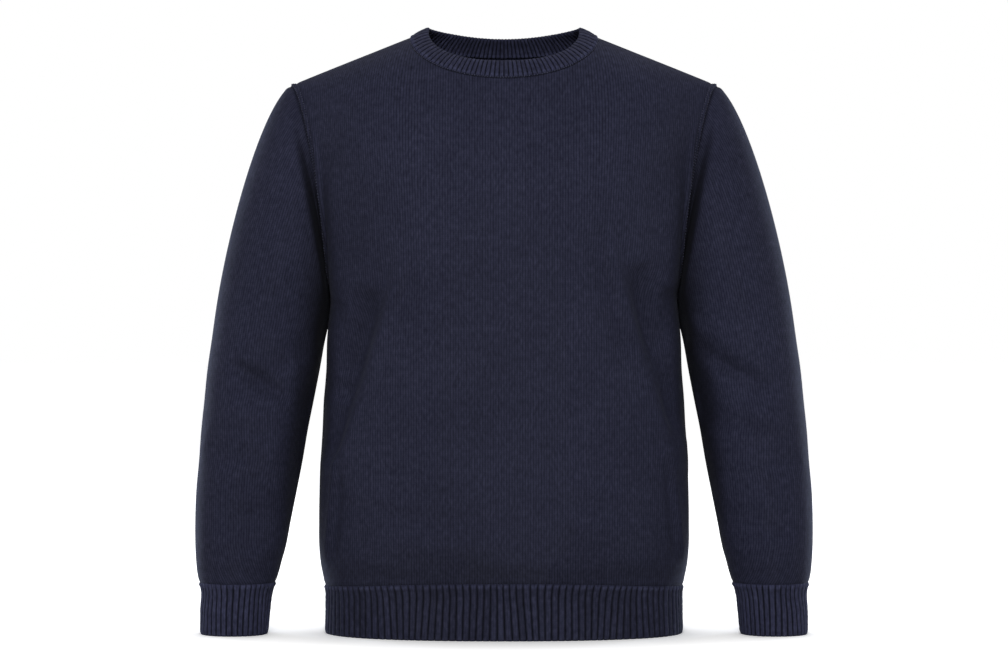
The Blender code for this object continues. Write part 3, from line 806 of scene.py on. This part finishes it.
def sleeve(side):
    """One sleeve: a tube with columns around it, rows from cuff seam to armhole."""
    spots = armhole_spots()
    turns = np.concatenate([1 - spots[:0:-1], 1 + spots[:-1]]) * math.pi
    turns = turns[(-SIDES[side] * np.arange(turns.size)) % turns.size]
    rows = np.concatenate([2 - graded(ARM_LENGTH), graded(CAP_LENGTH)[-2::-1]])
    around, reach = np.meshgrid(turns, rows)
    skin = sleeve_point(side, around, reach)
    seam = edge_distance(skin, 0, True)
    skin[..., 1] += valley("front", 1 - around / math.pi, seam, "sleeve") * (around < math.pi)
    skin[..., 1] -= valley("back", around / math.pi - 1, seam, "sleeve") * (around > math.pi)
    push = sleeve_fold_push(FOLDS[side], around, skin[..., 2])
    push = push * np.clip((2 - reach) / FOLD_FADE["cuff"], 0, 1)
    push = push * np.clip(reach / FOLD_FADE["armhole"], 0, 1)
    way = points_at(0, -np.tanh(FOLD_TURN * np.sin(around)), 0)
    wall = Wall(skin + way * push[..., None], closed=True)
    wall.lift += seam_lift("armhole_sleeve", edge_distance(wall.skin, 0, True))
    return wall


def sew_body(walls):
    """Joins the panels and sleeves at the side, shoulder and armhole seams."""
    front, back = walls["front"], walls["back"]
    top = LOWER_ROWS + ARMHOLE_ROWS
    lower, upper = np.arange(LOWER_ROWS + 1), np.arange(LOWER_ROWS, top + 1)
    shoulder = np.arange(len(panel_columns()) - NECK_STEPS)
    last = front.skin.shape[1] - 1
    for side, way in SIDES.items():
        arm = walls[side + "_sleeve"]
        column = 0 if way < 0 else last
        edges = ((front, column, -way), (back, last - column, way))
        sew(*(Edge(wall, lower, edge, (0, step)) for wall, edge, step in edges))
        sew(*(Edge(wall, top, np.abs(edge - shoulder), (-1, 0)) for wall, edge, _ in edges))
        for (wall, edge, step), turn in zip(edges, (-1, 1)):
            turns = ARMHOLE_ROWS + turn * np.arange(ARMHOLE_ROWS + 1)
            around = (-way * turns) % (2 * ARMHOLE_ROWS)
            sew(
                Edge(wall, upper, edge, (0, step)),
                Edge(arm, arm.skin.shape[0] - 1, around, (-1, 0)),
            )


def grid_faces(grid):
    """The four-sided faces of a grid of point numbers."""
    corners = (grid[:-1, :-1], grid[:-1, 1:], grid[1:, 1:], grid[1:, :-1])
    return list(zip(*(corner.ravel().tolist() for corner in corners)))


def edge_faces(outside, inside):
    """A wall's edge, as triangles from each inner span to its outer points."""
    ratio = (len(outside) - 1) // (len(inside) - 1)
    faces = []
    for span in range(len(inside) - 1):
        near, far = int(inside[span]), int(inside[span + 1])
        line = [int(point) for point in outside[span * ratio : (span + 1) * ratio + 1]]
        turn = len(line) // 2
        faces += [(near, line[k + 1], line[k]) for k in range(turn)]
        faces.append((near, far, line[turn]))
        faces += [(far, line[k + 1], line[k]) for k in range(turn, ratio)]
    return faces


def wall_faces(outer, inner, closed):
    """Faces of a wall. The outer grid has more columns than the inner one."""
    outside = np.arange(outer[..., 0].size).reshape(outer.shape[:2])
    inside = np.arange(inner[..., 0].size).reshape(inner.shape[:2]) + outside.size
    if closed:
        outside, inside = (np.pad(grid, ((0, 0), (0, 1)), "wrap") for grid in (outside, inside))
    faces = grid_faces(outside) + grid_faces(inside[:, ::-1])
    faces += edge_faces(outside[0], inside[0])
    faces += edge_faces(outside[-1, ::-1], inside[-1, ::-1])
    if not closed:
        faces += edge_faces(outside[::-1, 0], inside[::-1, 0])
        faces += edge_faces(outside[:, -1], inside[:, -1])
    return faces


def new_piece(name, points, faces, stitches, girth, material):
    """Adds one mesh, with its stitches as a UV map in wales and courses."""
    mesh = bpy.data.meshes.new(name)
    mesh.from_pydata((points * MM).tolist(), [], faces)
    mesh.update()
    mesh.shade_smooth()
    corners = np.empty(len(mesh.loops), np.int32)
    mesh.loops.foreach_get("vertex_index", corners)
    spots = np.asarray(stitches, float)[corners]
    if girth is not None:
        close_round(mesh, spots, girth[corners])
    mesh.uv_layers.new(name="knit").data.foreach_set("uv", spots.ravel())
    mesh.materials.append(material)
    return put(name, mesh)


def close_round(mesh, spots, girth):
    """Keeps the stitches even in the faces where a tube closes."""
    starts = np.empty(len(mesh.polygons), np.int32)
    counts = np.empty(len(mesh.polygons), np.int32)
    mesh.polygons.foreach_get("loop_start", starts)
    mesh.polygons.foreach_get("loop_total", counts)
    owner = np.repeat(np.arange(len(starts)), counts)
    high = np.maximum.reduceat(spots[:, 0], starts)[owner]
    behind = spots[:, 0] < high - girth / 2
    spots[behind, 0] += girth[behind]


def cloth_piece(name, wall, material):
    """The shell of one panel or sleeve."""
    outer, inner = wall.outer(), wall.inner()
    points = np.concatenate([outer.reshape(-1, 3), inner.reshape(-1, 3)])
    faces = wall_faces(outer, inner, wall.closed)
    girth = wall.on_both_skins(wall.girth) if wall.closed else None
    piece = new_piece(name, points, faces, wall.stitches(), girth, material)
    piece.data.set_sharp_from_angle(angle=math.radians(SHARP_ANGLE))
    return piece


def rib_columns(count, closed):
    """Where a band has its columns, in ribs, closer together in the grooves."""
    places = np.array([rib + spot for rib in range(count) for spot in RIB_SPOTS])
    return places if closed else np.append(places, count)


def rib_wander(places, share, count, strength):
    """How far the ribs lean and wander from their places, in ribs."""
    away = sum(
        high * np.sin(2 * math.pi * places / length + start) for length, start, high in WANDER_WAVES
    )
    fade = np.clip(np.minimum(places, count - places) / WANDER_FADE, 0, 1)
    return strength * away * fade * (share - 0.5)


def strip(skin, out, thickness):
    """A band's whole skin: down its outside from the seam, round its free edge, up inside."""
    along = unit(skin[-1] - skin[-2])
    middle = skin - out * thickness / 2
    turn = np.linspace(0, math.pi, EDGE_ROWS + 1)[1:-1, None, None]
    edge_out = np.cos(turn) * out[-1] + np.sin(turn) * along
    edge = middle[-1] + edge_out * thickness / 2
    inner = (middle - out * thickness / 2)[::-1]
    return np.concatenate([skin, edge, inner]), np.concatenate([out, edge_out, -out[::-1]])


def keep_way_out(mesh, way):
    """Keeps the way out of the cloth with each point, for a tree to use."""
    layer = mesh.attributes.new("way_out", "FLOAT_VECTOR", "POINT")
    layer.data.foreach_set("vector", way.ravel())


def band_piece(name, skin, out, thickness, places, closed, material):
    """A ribbed band before its ribs are raised: its skin, and each point's place in it."""
    grid, way = strip(skin, out, thickness)
    rows, columns = grid.shape[:2]
    numbers = np.arange(rows * columns).reshape(rows, columns)
    caps = []
    for row in range(0 if closed else rows // 2):
        other = rows - 1 - row
        corners = sorted({row, row + 1, other - 1, other})
        caps.append(tuple(numbers[corners[::-1], 0].tolist()))
        caps.append(tuple(numbers[corners, -1].tolist()))
    numbers = np.pad(numbers, ((0, 1), (0, int(closed))), "wrap")
    faces = grid_faces(numbers[::-1]) + caps
    down = running(np.linalg.norm(np.diff(grid, axis=0), axis=-1).mean(axis=1))
    spots, length = np.broadcast_arrays(places, down[:, None])
    stitches = np.stack([spots * RIB_WALES, -length / COURSE], axis=-1).reshape(-1, 2)
    girth = np.full(spots.size, math.ceil(places[-1]) * RIB_WALES) if closed else None
    piece = new_piece(name, grid.reshape(-1, 3), faces, stitches, girth, material)
    marks = {
        "rib_place": spots,
        "from_seam": np.minimum(length, down[-1] - length),
        "from_edge": np.abs(length - down[-1] / 2),
    }
    for label, values in marks.items():
        layer = piece.data.attributes.new(label, "FLOAT", "POINT")
        layer.data.foreach_set("value", values.astype(float).ravel())
    keep_way_out(piece.data, way)
    return piece


def band_columns(count, closed, wander):
    """A band's columns, where they lie once the ribs wander, and its rows, from 1 to 0."""
    places = rib_columns(count, closed)
    share = np.linspace(1, 0, RIB_ROWS)[:, None]
    return places, places + rib_wander(places, share, count, wander), share


def level_out(skin, closed):
    """The level way out of a band whose rows run down."""
    return unit(grid_normals(skin[::-1], closed)[::-1] * (1, 1, 0))


def hem_rib(face, material):
    """Half of the hem rib, from side seam to side seam."""
    places, spots, share = band_columns(HEM_RIBS, False, HEM_WANDER)
    angle = even_angles(HEM_SECTION, (2 * spots / HEM_RIBS - 1) * -FACES[face])
    bottom = HEM_HEIGHT + RIB_WALL / 2
    skin = body_at(face, angle, mix(bottom, hem_seam_height(angle), share))
    out = level_out(skin, False)
    out[:, 0] = (FACES[face], 0, 0)
    out[:, -1] = (-FACES[face], 0, 0)
    return band_piece("hem_rib_%s_knit" % face, skin, out, RIB_WALL, places, False, material)


def cuff(side, material):
    """One cuff, a closed ring."""
    places, spots, share = band_columns(CUFF_RIBS, True, CUFF_WANDER)
    around = -SIDES[side] * 2 * math.pi * spots / CUFF_RIBS
    skin = arm_at(side, around, mix(CUFF_HEIGHT + RIB_WALL / 2, CUFF_SEAM_HEIGHT, share))
    out = level_out(skin, True)
    return band_piece("%s_cuff_knit" % side, skin, out, RIB_WALL, places, True, material)


def spread(points, fractions):
    """Values at even steps along a line of points, wider where it runs from front to back."""
    steps = np.linalg.norm(np.diff(points[:, :3], axis=0) * (1, BAND_DEPTH_SHARE, 1), axis=1)
    length = running(steps) / steps.sum()
    return np.stack([np.interp(fractions, length, values) for values in points.T], axis=-1)


def band_edge(face):
    """The neckband's upper edge over the front or the back, side to side."""
    middle_y, middle_height, squareness, dip = BAND_EDGES[face]
    angle = np.linspace(-math.pi / 2, math.pi / 2, CURVE_SAMPLES) * -FACES[face]
    sine, cosine = rounded(angle, squareness)
    y = mix(SHOULDER_SEAM_Y, middle_y, cosine)
    z = mix(BAND_SIDE_HEIGHT, middle_height, cosine**dip)
    return points_at(BAND_HALF_WIDTH * sine, y, z)


def neck_edge(wall):
    """The panel's neckline: its points and its way out."""
    first = len(panel_columns()) - 1 - NECK_STEPS
    columns = slice(first, wall.skin.shape[1] - first)
    return np.concatenate([wall.skin[-1, columns], wall.shared_out()[-1, columns]], axis=1)


def neckband(seams, material):
    """The neckband, a closed ring from the panels' neckline points."""
    front, back = seams["front"], seams["back"]
    front[0] = back[-1] = (front[0] + back[-1]) / 2
    front[-1] = back[0] = (front[-1] + back[0]) / 2
    share = np.linspace(0, BAND_FOLD_SHARE, BAND_ROWS)[:, None, None]
    bulge = BAND_BULGE * np.sin(math.pi * share)
    skins, outs, places, before = [], [], [], 0
    for face, count in BAND_RIBS.items():
        columns = rib_columns(count, closed=True)
        low = spread(seams[face], columns / count)
        high = spread(band_edge(face), columns / count)
        seam_out, low = unit(low[:, 3:]), low[:, :3]
        own_out = unit(np.cross(np.gradient(low, axis=0), high - low))
        skins.append(mix(low, high, share) + own_out * bulge)
        outs.append(unit(mix(seam_out, own_out, np.clip(share / BAND_TURN_SHARE, 0, 1))))
        places.append(columns + before)
        before += count
    # The free edge of this band is its upper one, so its columns run the other way round
    skin, out = (np.concatenate(parts, axis=1)[:, ::-1] for parts in (skins, outs))
    places = (before - np.concatenate(places))[::-1]
    return band_piece("neckband_knit", skin, out, BAND_WALL, places, True, material)


class Tree:
    """A node tree in the making. Most calls add nodes and return an output of the last."""

    def __init__(self, tree):
        self.tree = tree

    def feed(self, node, inputs):
        """Gives inputs of a node their values, or links them."""
        for socket, value in dict(inputs).items():
            if isinstance(value, bpy.types.NodeSocket):
                self.tree.links.new(value, node.inputs[socket])
            else:
                node.inputs[socket].default_value = value

    def add(self, kind, inputs=(), output=0, **settings):
        node = self.tree.nodes.new(kind)
        for name, value in settings.items():
            setattr(node, name, value)
        self.feed(node, inputs)
        return node.outputs[output]

    def math(self, operation, *values):
        """A sum on one, two or three numbers."""
        return self.add("ShaderNodeMath", enumerate(values), operation=operation)

    def times(self, first, *others):
        """The product of some numbers."""
        for other in others:
            first = self.math("MULTIPLY", first, other)
        return first

    def line(self, value, slope, start):
        """A number times a slope, plus a start."""
        return self.math("MULTIPLY_ADD", value, slope, start)

    def bell(self, value):
        """1 where the value is 0, and less and less to both sides."""
        return self.math("EXPONENT", self.times(value, value, -1.0))

    def scaled(self, vector, scale):
        """A vector times a number."""
        return self.add("ShaderNodeVectorMath", {0: vector, "Scale": scale}, operation="SCALE")

    def ramp(self, value, start, end, low, high):
        """A number that goes smoothly from low to high as the value goes from start to end."""
        places = {"Value": value, 1: start, 2: end, 3: low, 4: high}
        return self.add("ShaderNodeMapRange", places, interpolation_type="SMOOTHSTEP")

    def noise(self, place, scale, detail):
        """Soft random shades round a half."""
        return self.add("ShaderNodeTexNoise", {"Vector": place, "Scale": scale, "Detail": detail})

    def open_share(self, reach, samples, power):
        """How open the surface lies, to a power: 1 in the open, less in folds and corners."""
        share = self.add("ShaderNodeAmbientOcclusion", {"Distance": reach}, 1, samples=samples)
        return self.math("POWER", share, power)

    def named(self, name, kind="FLOAT"):
        """One of the mesh's own attributes."""
        return self.add("GeometryNodeInputNamedAttribute", {"Name": name}, data_type=kind)

    def chance(self, uneven, inputs):
        """A random number for each rib or stitch, at most 1."""
        inputs = {2: self.math("SUBTRACT", 1.0, uneven), 3: 1.0, **inputs}
        return self.add("FunctionNodeRandomValue", inputs, 1, data_type="FLOAT")


def geometry_tree(name, sizes):
    """An empty geometry tree with a named input for each size. Returns it and its inputs."""
    group = bpy.data.node_groups.new(name, "GeometryNodeTree")
    group.is_modifier = True
    kinds = {"Geometry": "Geometry", **dict.fromkeys(sizes, "Float")}
    kinds.update({"Seed": "Int", "Material": "Material"})
    for label, kind in kinds.items():
        group.interface.new_socket(label, in_out="INPUT", socket_type="NodeSocket" + kind)
    group.interface.new_socket("Geometry", in_out="OUTPUT", socket_type="NodeSocketGeometry")
    return Tree(group), group.nodes.new("NodeGroupInput").outputs


def close_tree(tree, geometry, material):
    """Ends a geometry tree: realized, with its material."""
    solid = tree.add("GeometryNodeRealizeInstances", {"Geometry": geometry})
    dressed = tree.add("GeometryNodeSetMaterial", {"Geometry": solid, "Material": material})
    tree.feed(tree.tree.nodes.new("NodeGroupOutput"), {0: dressed})
    return tree.tree


def rib_tree():
    """Raises ribs along a band: rounded ridges with narrow grooves, a bead at each rib's top."""
    tree, given = geometry_tree("knit_ribs", RIB_INPUTS)
    place, seam, edge = (tree.named(name) for name in ("rib_place", "from_seam", "from_edge"))
    across = tree.math("ABSOLUTE", tree.line(tree.math("FRACT", place), 2.0, -1.0))
    fall = tree.math("POWER", across, given["Flatness"])
    ridge = tree.math("SQRT", tree.math("SUBTRACT", 1.0, fall))
    number = tree.math("FLOOR", place)
    chance = tree.chance(given["Uneven"], {"ID": number, "Seed": given["Seed"]})
    lumps = tree.noise(tree.add("GeometryNodeInputPosition"), RIB_LUMP_SCALE, 1.0)
    body = tree.times(ridge, chance, tree.line(lumps, *RIB_LUMPS))
    fade = tree.times(tree.ramp(seam, *SEAM_RISE), tree.ramp(edge, *EDGE_RISE))
    from_bead = tree.math("DIVIDE", tree.math("SUBTRACT", seam, BEAD_PLACE), BEAD_REACH)
    bead = tree.times(tree.bell(from_bead), ridge)
    height = tree.times(body, given["Rib Height"])
    height = tree.times(tree.math("SUBTRACT", height, given["Groove Depth"]), fade)
    height = tree.line(bead, given["Bead Height"], height)
    # Painted light on the ribs: shade painted into the grooves, a highlight painted on each bead,
    # and the whole band lighter or darker as the light falls on it
    light = tree.times(tree.math("SUBTRACT", body, RIB_MEAN), fade, given["Painted Groove Shade"])
    light = tree.line(bead, BEAD_PAINTED_HIGHLIGHT, tree.math("ADD", light, RIB_MEAN))
    painted_rib_light = {"Name": "painted_rib_light", "Value": tree.times(light, given["Painted Band Light"])}
    marked = tree.add(
        "GeometryNodeStoreNamedAttribute",
        {"Geometry": given["Geometry"], **painted_rib_light},
        data_type="FLOAT",
        domain="POINT",
    )
    offset = tree.scaled(tree.named("way_out", "FLOAT_VECTOR"), height)
    raised = tree.add("GeometryNodeSetPosition", {"Geometry": marked, "Offset": offset})
    return close_tree(tree, raised, given["Material"])


def stitch_tree():
    """Lays one small stitch after another along a line on the cloth."""
    tree, given = geometry_tree("seam_stitches", STITCH_INPUTS)
    line = tree.add("GeometryNodeMeshToCurve", {"Mesh": given["Geometry"]})
    spots = {"Curve": line, "Length": given["Pitch"]}
    spots = tree.add("GeometryNodeResampleCurve", spots, mode="LENGTH")
    stitch = tree.add("GeometryNodeMeshIcoSphere", {"Radius": 0.5, "Subdivisions": 1})
    align = "FunctionNodeAlignRotationToVector"
    along = tree.add(align, {"Vector": tree.add("GeometryNodeInputTangent")}, axis="X")
    standing = {"Rotation": along, "Vector": tree.named("way_out", "FLOAT_VECTOR")}
    standing = tree.add(align, standing, axis="Z", pivot_axis="X")
    chance = tree.chance(given["Uneven"], {"Seed": given["Seed"]})
    slant = tree.add("ShaderNodeCombineXYZ", {2: tree.times(given["Slant"], chance)})
    turn = {0: standing, 1: tree.add("FunctionNodeEulerToRotation", {0: slant})}
    turned = tree.add("FunctionNodeRotateRotation", turn, rotation_space="LOCAL")
    sizes = enumerate(given["Stitch " + way] for way in ("Length", "Width", "Height"))
    scale = tree.scaled(tree.add("ShaderNodeCombineXYZ", sizes), chance)
    laid = {"Points": spots, "Instance": stitch, "Rotation": turned, "Scale": scale}
    laid = tree.add("GeometryNodeInstanceOnPoints", laid)
    laid = tree.add("GeometryNodeSetShadeSmooth", {"Geometry": laid})
    return close_tree(tree, laid, given["Material"])


def run_tree(piece, group, labels, row, seed, material):
    """Runs a geometry tree on a piece and keeps the result as its plain mesh."""
    sizes = {**dict(zip(labels, row)), "Seed": seed, "Material": material}
    modifier = piece.modifiers.new(group.name, "NODES")
    modifier.node_group = group
    for item in group.interface.items_tree:
        if item.name in sizes:
            modifier[item.identifier] = sizes[item.name]
    graph = bpy.context.evaluated_depsgraph_get()
    mesh = bpy.data.meshes.new_from_object(
        piece.evaluated_get(graph), preserve_all_data_layers=True, depsgraph=graph
    )
    piece.modifiers.remove(modifier)
    plain = piece.data
    piece.data = mesh
    bpy.data.meshes.remove(plain)
    mesh.name = piece.name
    mesh.materials.clear()
    mesh.materials.append(material)
    mesh.polygons.foreach_set("material_index", np.zeros(len(mesh.polygons), np.int32))


def seam_line(name, points, way, closed):
    """A line on the cloth for stitches to follow."""
    mesh = bpy.data.meshes.new(name)
    count = len(points)
    edges = [(k, (k + 1) % count) for k in range(count if closed else count - 1)]
    mesh.from_pydata((points * MM).tolist(), edges, [])
    keep_way_out(mesh, way)
    return put(name, mesh)


def armhole_line(walls, way, steps):
    """Where a row of stitches beside an armhole lies: up the front panel and down the back."""
    last = walls["front"].skin.shape[1] - 1
    rows = slice(LOWER_ROWS + 1 + STITCH_ROWS_LEFT, None)
    up, down = (
        np.concatenate([wall.outer(), wall.out], axis=-1)[rows, abs(edge - steps)]
        for wall, edge in ((walls["front"], last * (way > 0)), (walls["back"], last * (way < 0)))
    )
    both = np.concatenate([up, down[-2::-1]])
    return both[:, :3], both[:, 3:]


def neck_line(seams):
    """Where the neckband's linking stitches lie: all round on its seam."""
    both = np.concatenate([seams["front"][:-1], seams["back"][:-1]])
    return both[:, :3], unit(both[:, 3:])


def new_material(name):
    """A new material, the tree of its nodes, and its shader."""
    material = bpy.data.materials.new(name)
    material.use_nodes = True
    nodes = material.node_tree
    return material, Tree(nodes), nodes.nodes["Principled BSDF"]


def thread_material():
    """The yarn of the seams: plain navy, a little lighter than the cloth."""
    material, tree, shader = new_material("navy_thread")
    place = tree.add("ShaderNodeTexCoord", output=3)
    shade = tree.ramp(tree.noise(place, THREAD_GRAIN, 1.0), *THREAD_SHADES)
    tree.feed(shader, {"Base Color": tree.scaled(THREAD_NAVY, shade), **MATT})
    return material


def knit_height(tree, wales, courses):
    """The height of the yarn over the cloth: columns of V-shaped stitches."""
    aside = tree.math("ABSOLUTE", tree.math("SUBTRACT", tree.math("FRACT", wales), 0.5))
    column = tree.math("COSINE", tree.times(aside, math.pi))
    column = tree.math("POWER", column, COLUMN_FULLNESS)
    split = tree.bell(tree.times(aside, SPLIT_NARROWNESS))
    legs = tree.times(column, tree.line(split, -SPLIT_DEPTH, 1.0))
    slanted = tree.math("FRACT", tree.line(aside, -LEG_SLANT, courses))
    hump = tree.math("SINE", tree.times(slanted, math.pi))
    hump = tree.math("POWER", hump, STITCH_FULLNESS)
    return tree.times(legs, tree.line(hump, STITCH_RISE, 1 - STITCH_RISE))


def yarn_noise(tree, wales, courses, grain):
    """Random shades that follow the stitches, finer with more grain across and up."""
    spots = {0: tree.times(wales, grain[0]), 1: tree.times(courses, grain[1])}
    return tree.noise(tree.add("ShaderNodeCombineXYZ", spots), 1.0, 2.0)


def knit_material(name, ribbed):
    """Navy wool knit: heathered yarn in V-shaped stitches, matt with a soft sheen."""
    material, tree, shader = new_material(name)
    wales = tree.add("ShaderNodeSeparateXYZ", {0: tree.add("ShaderNodeUVMap", uv_map="knit")})
    courses = wales.node.outputs[1]
    place = tree.add("ShaderNodeTexCoord", output=3)
    shade = yarn_noise(tree, wales, courses, HEATHER_GRAIN)
    for scale, detail, strength in SHADE_NOISES:
        spots = tree.noise(place, scale, detail)
        shade = tree.math("ADD", shade, tree.line(spots, strength, -strength / 2))
    yarn = tree.add("ShaderNodeValToRGB", {0: shade})
    stops = yarn.node.color_ramp.elements
    stops.new(0.5)
    for stop, (position, colour) in zip(stops, YARN_SHADES):
        stop.position = position
        stop.color = colour
    height = knit_height(tree, wales, courses)
    # Painted shade: the colour is darker where the yarn lies low, on the ribs by their painted
    # light and shade, and on the jersey in folds and corners
    if ribbed:
        painted_rib_light = tree.add("ShaderNodeAttribute", output=2, attribute_name="painted_rib_light")
        depth = tree.times(tree.ramp(height, *RIB_PAINTED_SHADES), tree.ramp(painted_rib_light, *PAINTED_RIB_LIGHT_RAMP))
    else:
        depth = tree.times(tree.ramp(height, *JERSEY_PAINTED_SHADES), tree.open_share(*FOLD_PAINTED_SHADE))
    fibres = yarn_noise(tree, wales, courses, FIBRE_GRAIN)
    height = tree.line(fibres, FIBRE_HEIGHT, height)
    bump = tree.add("ShaderNodeBump", {"Height": height, **BUMP})
    colour = tree.scaled(yarn, depth)
    tree.feed(shader, {"Base Color": colour, "Normal": bump, **MATT, **SHEEN})
    return material


def stage_floor():
    """A plain pale floor, just under the hem and the cuffs."""
    mesh = bpy.data.meshes.new("floor")
    corners = [(-1, -1), (1, -1), (1, 1), (-1, 1)]
    corners = [(x * FLOOR_REACH, y * FLOOR_REACH, FLOOR_HEIGHT) for x, y in corners]
    mesh.from_pydata(corners, [], [(0, 1, 2, 3)])
    material, tree, shader = new_material("floor_white")
    # The floor's glow is dimmed near the sweater: a painted shadow
    glow = tree.times(tree.open_share(*FLOOR_PAINTED_SHADOW), FLOOR_GLOW)
    looks = {"Base Color": STAGE_WHITE, "Roughness": 1.0, "Specular IOR Level": 0.0}
    tree.feed(shader, {**looks, "Emission Color": WHITE, "Emission Strength": glow})
    mesh.materials.append(material)
    floor = put("floor", mesh)
    floor.visible_diffuse = False


def studio_light():
    """A white room, and soft boxes in front, behind, at both sides and above."""
    world = bpy.data.worlds.new("white_room")
    world.use_nodes = True
    tree = Tree(world.node_tree)
    seen = tree.add("ShaderNodeLightPath")
    strength = tree.add("ShaderNodeMapRange", {"Value": seen, "To Min": ROOM_LIGHT, "To Max": 1.0})
    tree.feed(world.node_tree.nodes["Background"], {"Color": WHITE, "Strength": strength})
    bpy.context.scene.world = world
    for name, (place, target, size, power) in SOFT_BOXES.items():
        data = bpy.data.lights.new(name, "AREA")
        data.shape = "SQUARE"
        data.size = size
        data.energy = power
        data.color = RIM_BLUE if "rim" in name else (1, 1, 1)
        light = put(name, data)
        light.location = place
        way = Vector(target) - Vector(place)
        light.rotation_euler = way.to_track_quat("-Z", "Y").to_euler()


def entry(table, node):
    """What a table says of a node, under a word that its name has."""
    return next(row for word, row in table.items() if word in node)


def declare(piece, node=None):
    """Hangs a piece on the root body it rides on, and hides the solid that it stands for, if one is
    named.
    """
    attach(piece, "root")
    if node:
        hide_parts(node)


def add_stitches(walls, seams):
    """The rows of stitches: beside each armhole, and on the neckband's seam."""
    rows = []
    for side, way in SIDES.items():
        for row, steps in enumerate(STITCH_COLUMNS):
            name = "%s_armhole_stitches_%d" % (side, row)
            seed = ARMHOLE_SEED + way + 3 * row
            rows.append((name, armhole_line(walls, way, steps), "armhole", seed, "jersey"))
    rows.append(("neckline_stitches", neck_line(seams), "neckline", NECK_SEED, "rib"))
    group, thread = stitch_tree(), thread_material()
    for name, (line, out), kind, seed, slot in rows:
        piece = seam_line(name, line, out, closed=kind == "neckline")
        run_tree(piece, group, STITCH_INPUTS, STITCH_SIZES[kind], seed, thread)
        declare(piece)


def main():
    bpy.context.scene.view_settings.view_transform = "Standard"
    place_camera()
    studio_light()
    stage_floor()
    jersey = knit_material("navy_jersey", ribbed=False)
    rib = knit_material("navy_rib", ribbed=True)
    walls = {face: panel(face) for face in FACES}
    walls.update({side + "_sleeve": sleeve(side) for side in SIDES})
    sew_body(walls)
    for node, wall in walls.items():
        declare(cloth_piece(node + "_knit", wall, jersey), node)
    bands = {"hem_rib_" + face: hem_rib(face, rib) for face in FACES}
    bands.update({side + "_cuff": cuff(side, rib) for side in SIDES})
    seams = {face: neck_edge(walls[face]) for face in FACES}
    bands["neckband"] = neckband(seams, rib)
    group = rib_tree()
    for seed, (node, piece) in enumerate(bands.items()):
        run_tree(piece, group, RIB_INPUTS, entry(RIB_SIZES, node), seed, rib)
        declare(piece, node)
    add_stitches(walls, seams)


main()
